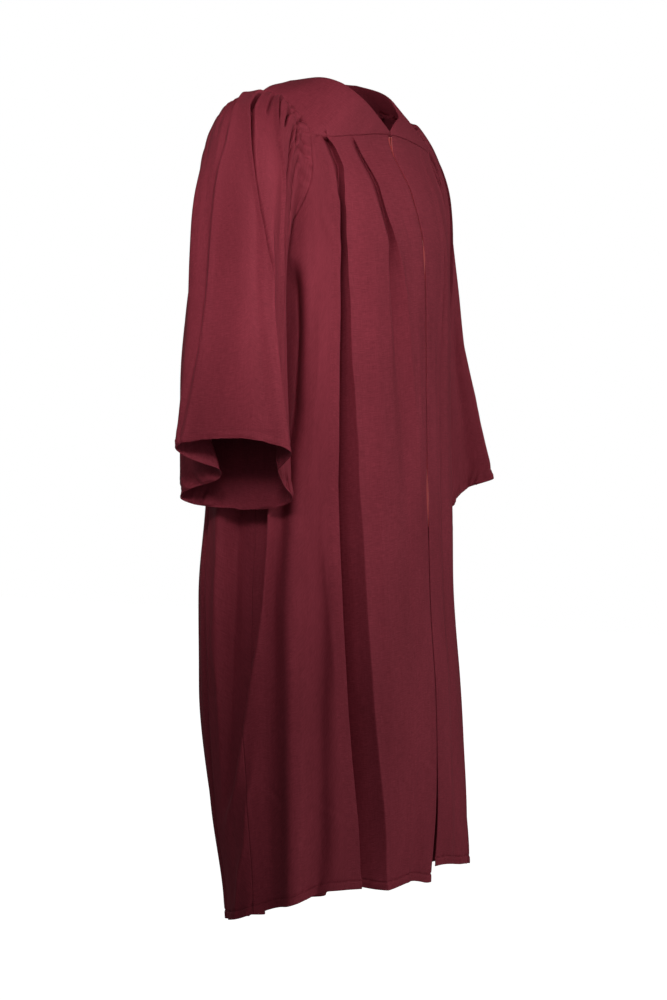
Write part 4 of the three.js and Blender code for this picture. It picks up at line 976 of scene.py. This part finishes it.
def sleeveGrid(side):
    loop = armholeLoop(side)
    steps = np.linalg.norm(np.diff(np.concatenate([loop, loop[:1]]), axis=0), axis=1)
    length = np.concatenate([[0], np.cumsum(steps)])
    place = np.linspace(-180, 180, 3001)
    weight = 1 + 1.4 * hump((place - 45) / 36)
    for start, way, table in sleeveLines[side].values():
        weight = weight + 5 * hump((place - start - way * 1.5) / 2)
    gone = np.concatenate([[0], np.cumsum((weight[1:] + weight[:-1]) / 2)])
    place = np.interp(np.linspace(0, gone[-1], sleeve["columns"] + 1)[:-1], gone, place)
    wide = np.concatenate([loop, loop[:1]])
    onLoop = place % 360 / 360 * length[-1]
    seam = np.stack([np.interp(onLoop, length, wide[:, k]) for k in range(3)], axis=-1)
    at = denseEnds(sleeveLength, sleeve["rows"], sleeve["topSteps"], sleeve["hemSteps"])[:, None]
    turn = columnTurn(place[None] + 0 * at, at + 0 * place[None], side)
    ringAt = np.maximum(at, 0.1) + 0 * turn
    lying = turn
    for start, way, table in sleeveLines[side].values():
        line = readTable(table, at + 0 * turn)
        away = (turn - line["turn"]) * way
        closed = sleeve["under"] * smooth((4 - line["valley"]) / 2) * smooth(line["depth"] / 8)
        lying = lying - way * closed * pleatDown(away, line) * (1 - np.clip(away / line["far"], 0, 1))
    ring = ringPoint(lying, ringAt, side)
    centre = (ringPoint(0 * turn, ringAt, side) + ringPoint(0 * turn + 180, ringAt, side)) / 2
    held = (1 - np.clip(at / sleeve["blend"], 0, 1)) ** 1.6
    points = mix(ring, seam[None], held[..., None])
    out = unit(points - centre)
    shift = 0 * turn
    for start, way, table in sleeveLines[side].values():
        line = readTable(table, at + 0 * turn)
        away = (turn - line["turn"]) * way
        fallen = pleatDown(away, line) * (1 - pleatUp(away, line))
        shift = shift - line["depth"] * fallen + 0.2 * line["depth"] * (1 - fallen) * hump(away / 4)
        if way < 0:
            shift = shift + 3.6 * smooth(at / 0.22) * (hump(away / 7) - 0.5 * smooth(away / 30))
    for top, low, depth, reach, end in sleeveFolds[side]:
        line = mix(top, low, smooth(at / 0.4)) + 1.2 * np.sin(at * 21 + top)
        grown = smooth((at + 0.004) / 0.03) * (1 - smooth(at / end)) ** 1.3
        away = np.sqrt(turnGap(turn, line) ** 2 + 0.3)
        shift = shift - 2 * depth * grown * np.exp(-(away / (0.8 * reach * (1 + 1.3 * at))) ** 1.2)
    for ends in sleeveHollows[side]:
        shift = shift + hollow(turn, at, ends)
    for top, low, height, reach, start, end in sleeveSwells[side]:
        line = mix(top, low, smooth(at))
        grown = smooth((at - start) / 0.2) * smooth((end - at) / 0.25)
        shift = shift + height * grown * hump(turnGap(turn, line) / reach)
    shift = shift - sleeve["capDrop"] * (1.5 if side > 0 else 1) * smooth(at / 0.03) * (1 - smooth(at / 0.3))
    arc = turn * sleeveDegree
    gathered = smooth((112 - np.abs(turn + 4)) / 30)
    ruffle = 2.0 * softNoise(turn / 3.3 + 40, 0 * at, 75 + side) * np.exp(-at * sleeveLength / 16)
    broad = softNoise(turn / 7 + 40, at * sleeveLength / 70, 78 + side)
    ruffle = ruffle + 2.6 * broad * np.exp(-at * sleeveLength / 60)
    shift = shift + ruffle * gathered * smooth((at + 0.003) / 0.012)
    shift = shift + (1.2 * softNoise(arc / 30 + 20, at * sleeveLength / 130, 71 + side)
                     + 0.5 * softNoise(arc / 14 + 20, at * sleeveLength / 60, 73)) * smooth(at / 0.08)
    points = points + out * shift[..., None]
    deeper = sleeve["mouthTuck"] * smooth((at - 0.72) / 0.28) ** 1.5 * hump(turnGap(turn, 270) / 12)
    points[..., 1] -= deeper
    return points


for word, side in sides.items():
    grid = sleeveGrid(side)
    grid = withHem(grid, True, side, sleeve["hemWidth"], sleeve["hemPucker"], sleeve["hemWave"], 80 + side)
    sewn = hemStitches(f"hemStitchesSleeve{word}", grid, True, side, sleeve["hemWidth"])
    grid = tuckTop(grid, gridNormals(grid, True, side), 1.3, 1.5)
    piece = clothPiece(f"sleeve{word}", grid, True, side, cut["cloth"], cloth,
                       [f"sleeve_{word.lower()}"])

# Zip: two tapes behind the front edges, their coil, slider and pull.
zipSizes = {"top": -78, "bottom": -700, "behind": 1.9, "rise": 1.2}


# Tape grid: level lines from the centre outwards, behind the front edge and up to it at the gaps.
def tapeGrid(side):
    z = np.linspace(zipSizes["top"], zipSizes["bottom"], 260)[:, None]
    x = np.array([0.45, 1.2, 2, 3, 4.2, 5.6, 7.4, 9.6, 12, 15])[None, :]
    s = readTable(bodySections, z)
    turn = np.arcsin((x / s["halfWidth"]) ** (s["squareFront"] / 2)) / radians
    grid = bodyPoint(turn, z + 0 * turn, side)
    opened = sum(hump((z - middle) / half) * (width > 1) for middle, half, width in zipGaps[-1])
    behind = zipSizes["behind"] - zipSizes["rise"] * np.minimum(1, opened) * hump(x / 5)
    if side > 0:
        behind = behind - 1.5 * hump((z + 82) / 16) * hump((x - 3) / 4)
    grid[..., 1] += behind
    grid[..., 0] = side * x + grid[..., 0] * 0
    return grid


for word, side in sides.items():
    tape = clothPiece(f"zipTape{word}", tapeGrid(side), False, -side, 0.5, tapeCloth,
                      [f"zip_tape_{word.lower()}"])
for name in ("zip_coil", "zip_slider", "zip_pull"):
    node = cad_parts[name]
    node.data.materials.clear()
    node.data.materials.append(coilRed if name == "zip_coil" else sliderRed)

# Floor, light and camera.
floorZ, floorHalf, floorBack = -1560.0, 6000, 9000
floorCorners = [(-floorHalf, -floorHalf, floorZ), (floorHalf, -floorHalf, floorZ),
                (floorHalf, floorBack, floorZ), (-floorHalf, floorBack, floorZ)]
floor = putMesh("floor", np.array(floorCorners), np.array([[0, 1, 2, 3]]))
paper = Nodes("paleFloor")
paper.shader.inputs["Base Color"].default_value = (0.3, 0.3, 0.3, 1)
paper.shader.inputs["Roughness"].default_value = 0.9
paper.shader.inputs["Emission Color"].default_value = (1, 1, 1, 1)
glow = paper.maths("MULTIPLY", paper.add("ShaderNodeLightPath").outputs["Is Camera Ray"], 0.97)
paper.link(glow, "Emission Strength")
floor.data.materials.append(paper.material)

world = bpy.data.worlds.new("studio")
bpy.context.scene.world = world
studio = Tree(world)
# Broad soft panels round the robe, as lobes of the studio's light: the azimuth and rise of each
# one's middle in degrees (0 is straight in front, negative to the robe's right) and its strength,
# which falls off by a power of the cosine.
softPanels = {
    "front": (10, 5, 1.68), "nearFront": (-20, 5, 0.55), "farFront": (40, 5, 0.14),
    "behind": (-105, 38, 0.22), "back": (172, 20, 0.4),
}
panelFalloff = 4
seenFrom = studio.add("ShaderNodeTexCoord").outputs["Generated"]
total = 0.0
for azimuth, rise, strength in softPanels.values():
    level = math.cos(rise * radians)
    x, y = math.sin(azimuth * radians) * level, -math.cos(azimuth * radians) * level
    ends = {0: seenFrom, 1: (x, y, math.sin(rise * radians))}
    facing = studio.add("ShaderNodeVectorMath", ends, operation="DOT_PRODUCT").outputs["Value"]
    lobe = studio.maths("POWER", studio.maths("MAXIMUM", facing, 0), panelFalloff)
    total = studio.maths("ADD", total, studio.maths("MULTIPLY", lobe, strength))
lit = studio.add("ShaderNodeBackground", {"Color": (1, 1, 1, 1), "Strength": total})
seen = studio.add("ShaderNodeBackground", {"Color": (1, 1, 1, 1), "Strength": 1.0})
path = studio.add("ShaderNodeLightPath")
shares = {0: path.outputs["Is Camera Ray"], 1: lit.outputs[0], 2: seen.outputs[0]}
both = studio.add("ShaderNodeMixShader", shares)
studio.add("ShaderNodeOutputWorld", {0: both.outputs[0]})

# Small lamps: where each is, where it points, its width in metres, its watts and its spread in degrees.
lights = {
    "nearFront": ((-1.7, -0.85, 0.5), (-0.32, 0, -0.29), 0.6, 0.95, 33),
    "front": ((-0.95, -1.645, 0.3), (-0.15, 0, -0.35), 0.8, 0.25, 60),
    "side": ((-1.9, -0.1, 0.5), (-0.25, 0, -0.25), 0.6, 0.35, 32),
    "insideNeck": ((0, 0.0, -0.17), (0.01, 0.03, 0.05), 0.12, 0.14, 170),
}
for name, (at, to, size, watts, spread) in lights.items():
    data = bpy.data.lights.new(name, "AREA")
    data.shape = "DISK"
    data.size = size
    data.energy = watts
    data.spread = spread * radians
    lamp = bpy.data.objects.new(name, data)
    lamp.location = at
    aim = Vector(to) - Vector(at)
    lamp.rotation_euler = aim.to_track_quat("-Z", "Y").to_euler()
    lamp.visible_camera = False
    bpy.context.collection.objects.link(lamp)

# Camera: 60 degrees round to the robe's right, at chest height, tilted down a little.
view = {
    "azimuth": -60.024, "distance": 4.0416, "height": -0.4401, "yaw": -0.1855, "pitch": 3.1422,
    "lens": 89.16, "sensor": 36,
}
turn = view["azimuth"] * radians
data = bpy.data.cameras.new("camera")
data.lens = view["lens"]
data.sensor_width = view["sensor"]
camera = bpy.data.objects.new("camera", data)
camera.location = (math.sin(turn) * view["distance"], -math.cos(turn) * view["distance"], view["height"])
heading, down = turn + view["yaw"] * radians, view["pitch"] * radians
aim = Vector((-math.sin(heading) * math.cos(down), math.cos(heading) * math.cos(down), -math.sin(down)))
camera.rotation_euler = aim.to_track_quat("-Z", "Y").to_euler()
bpy.context.collection.objects.link(camera)
bpy.context.scene.camera = camera
bpy.context.scene.view_settings.view_transform = "Standard"
print("robe: light and camera set")
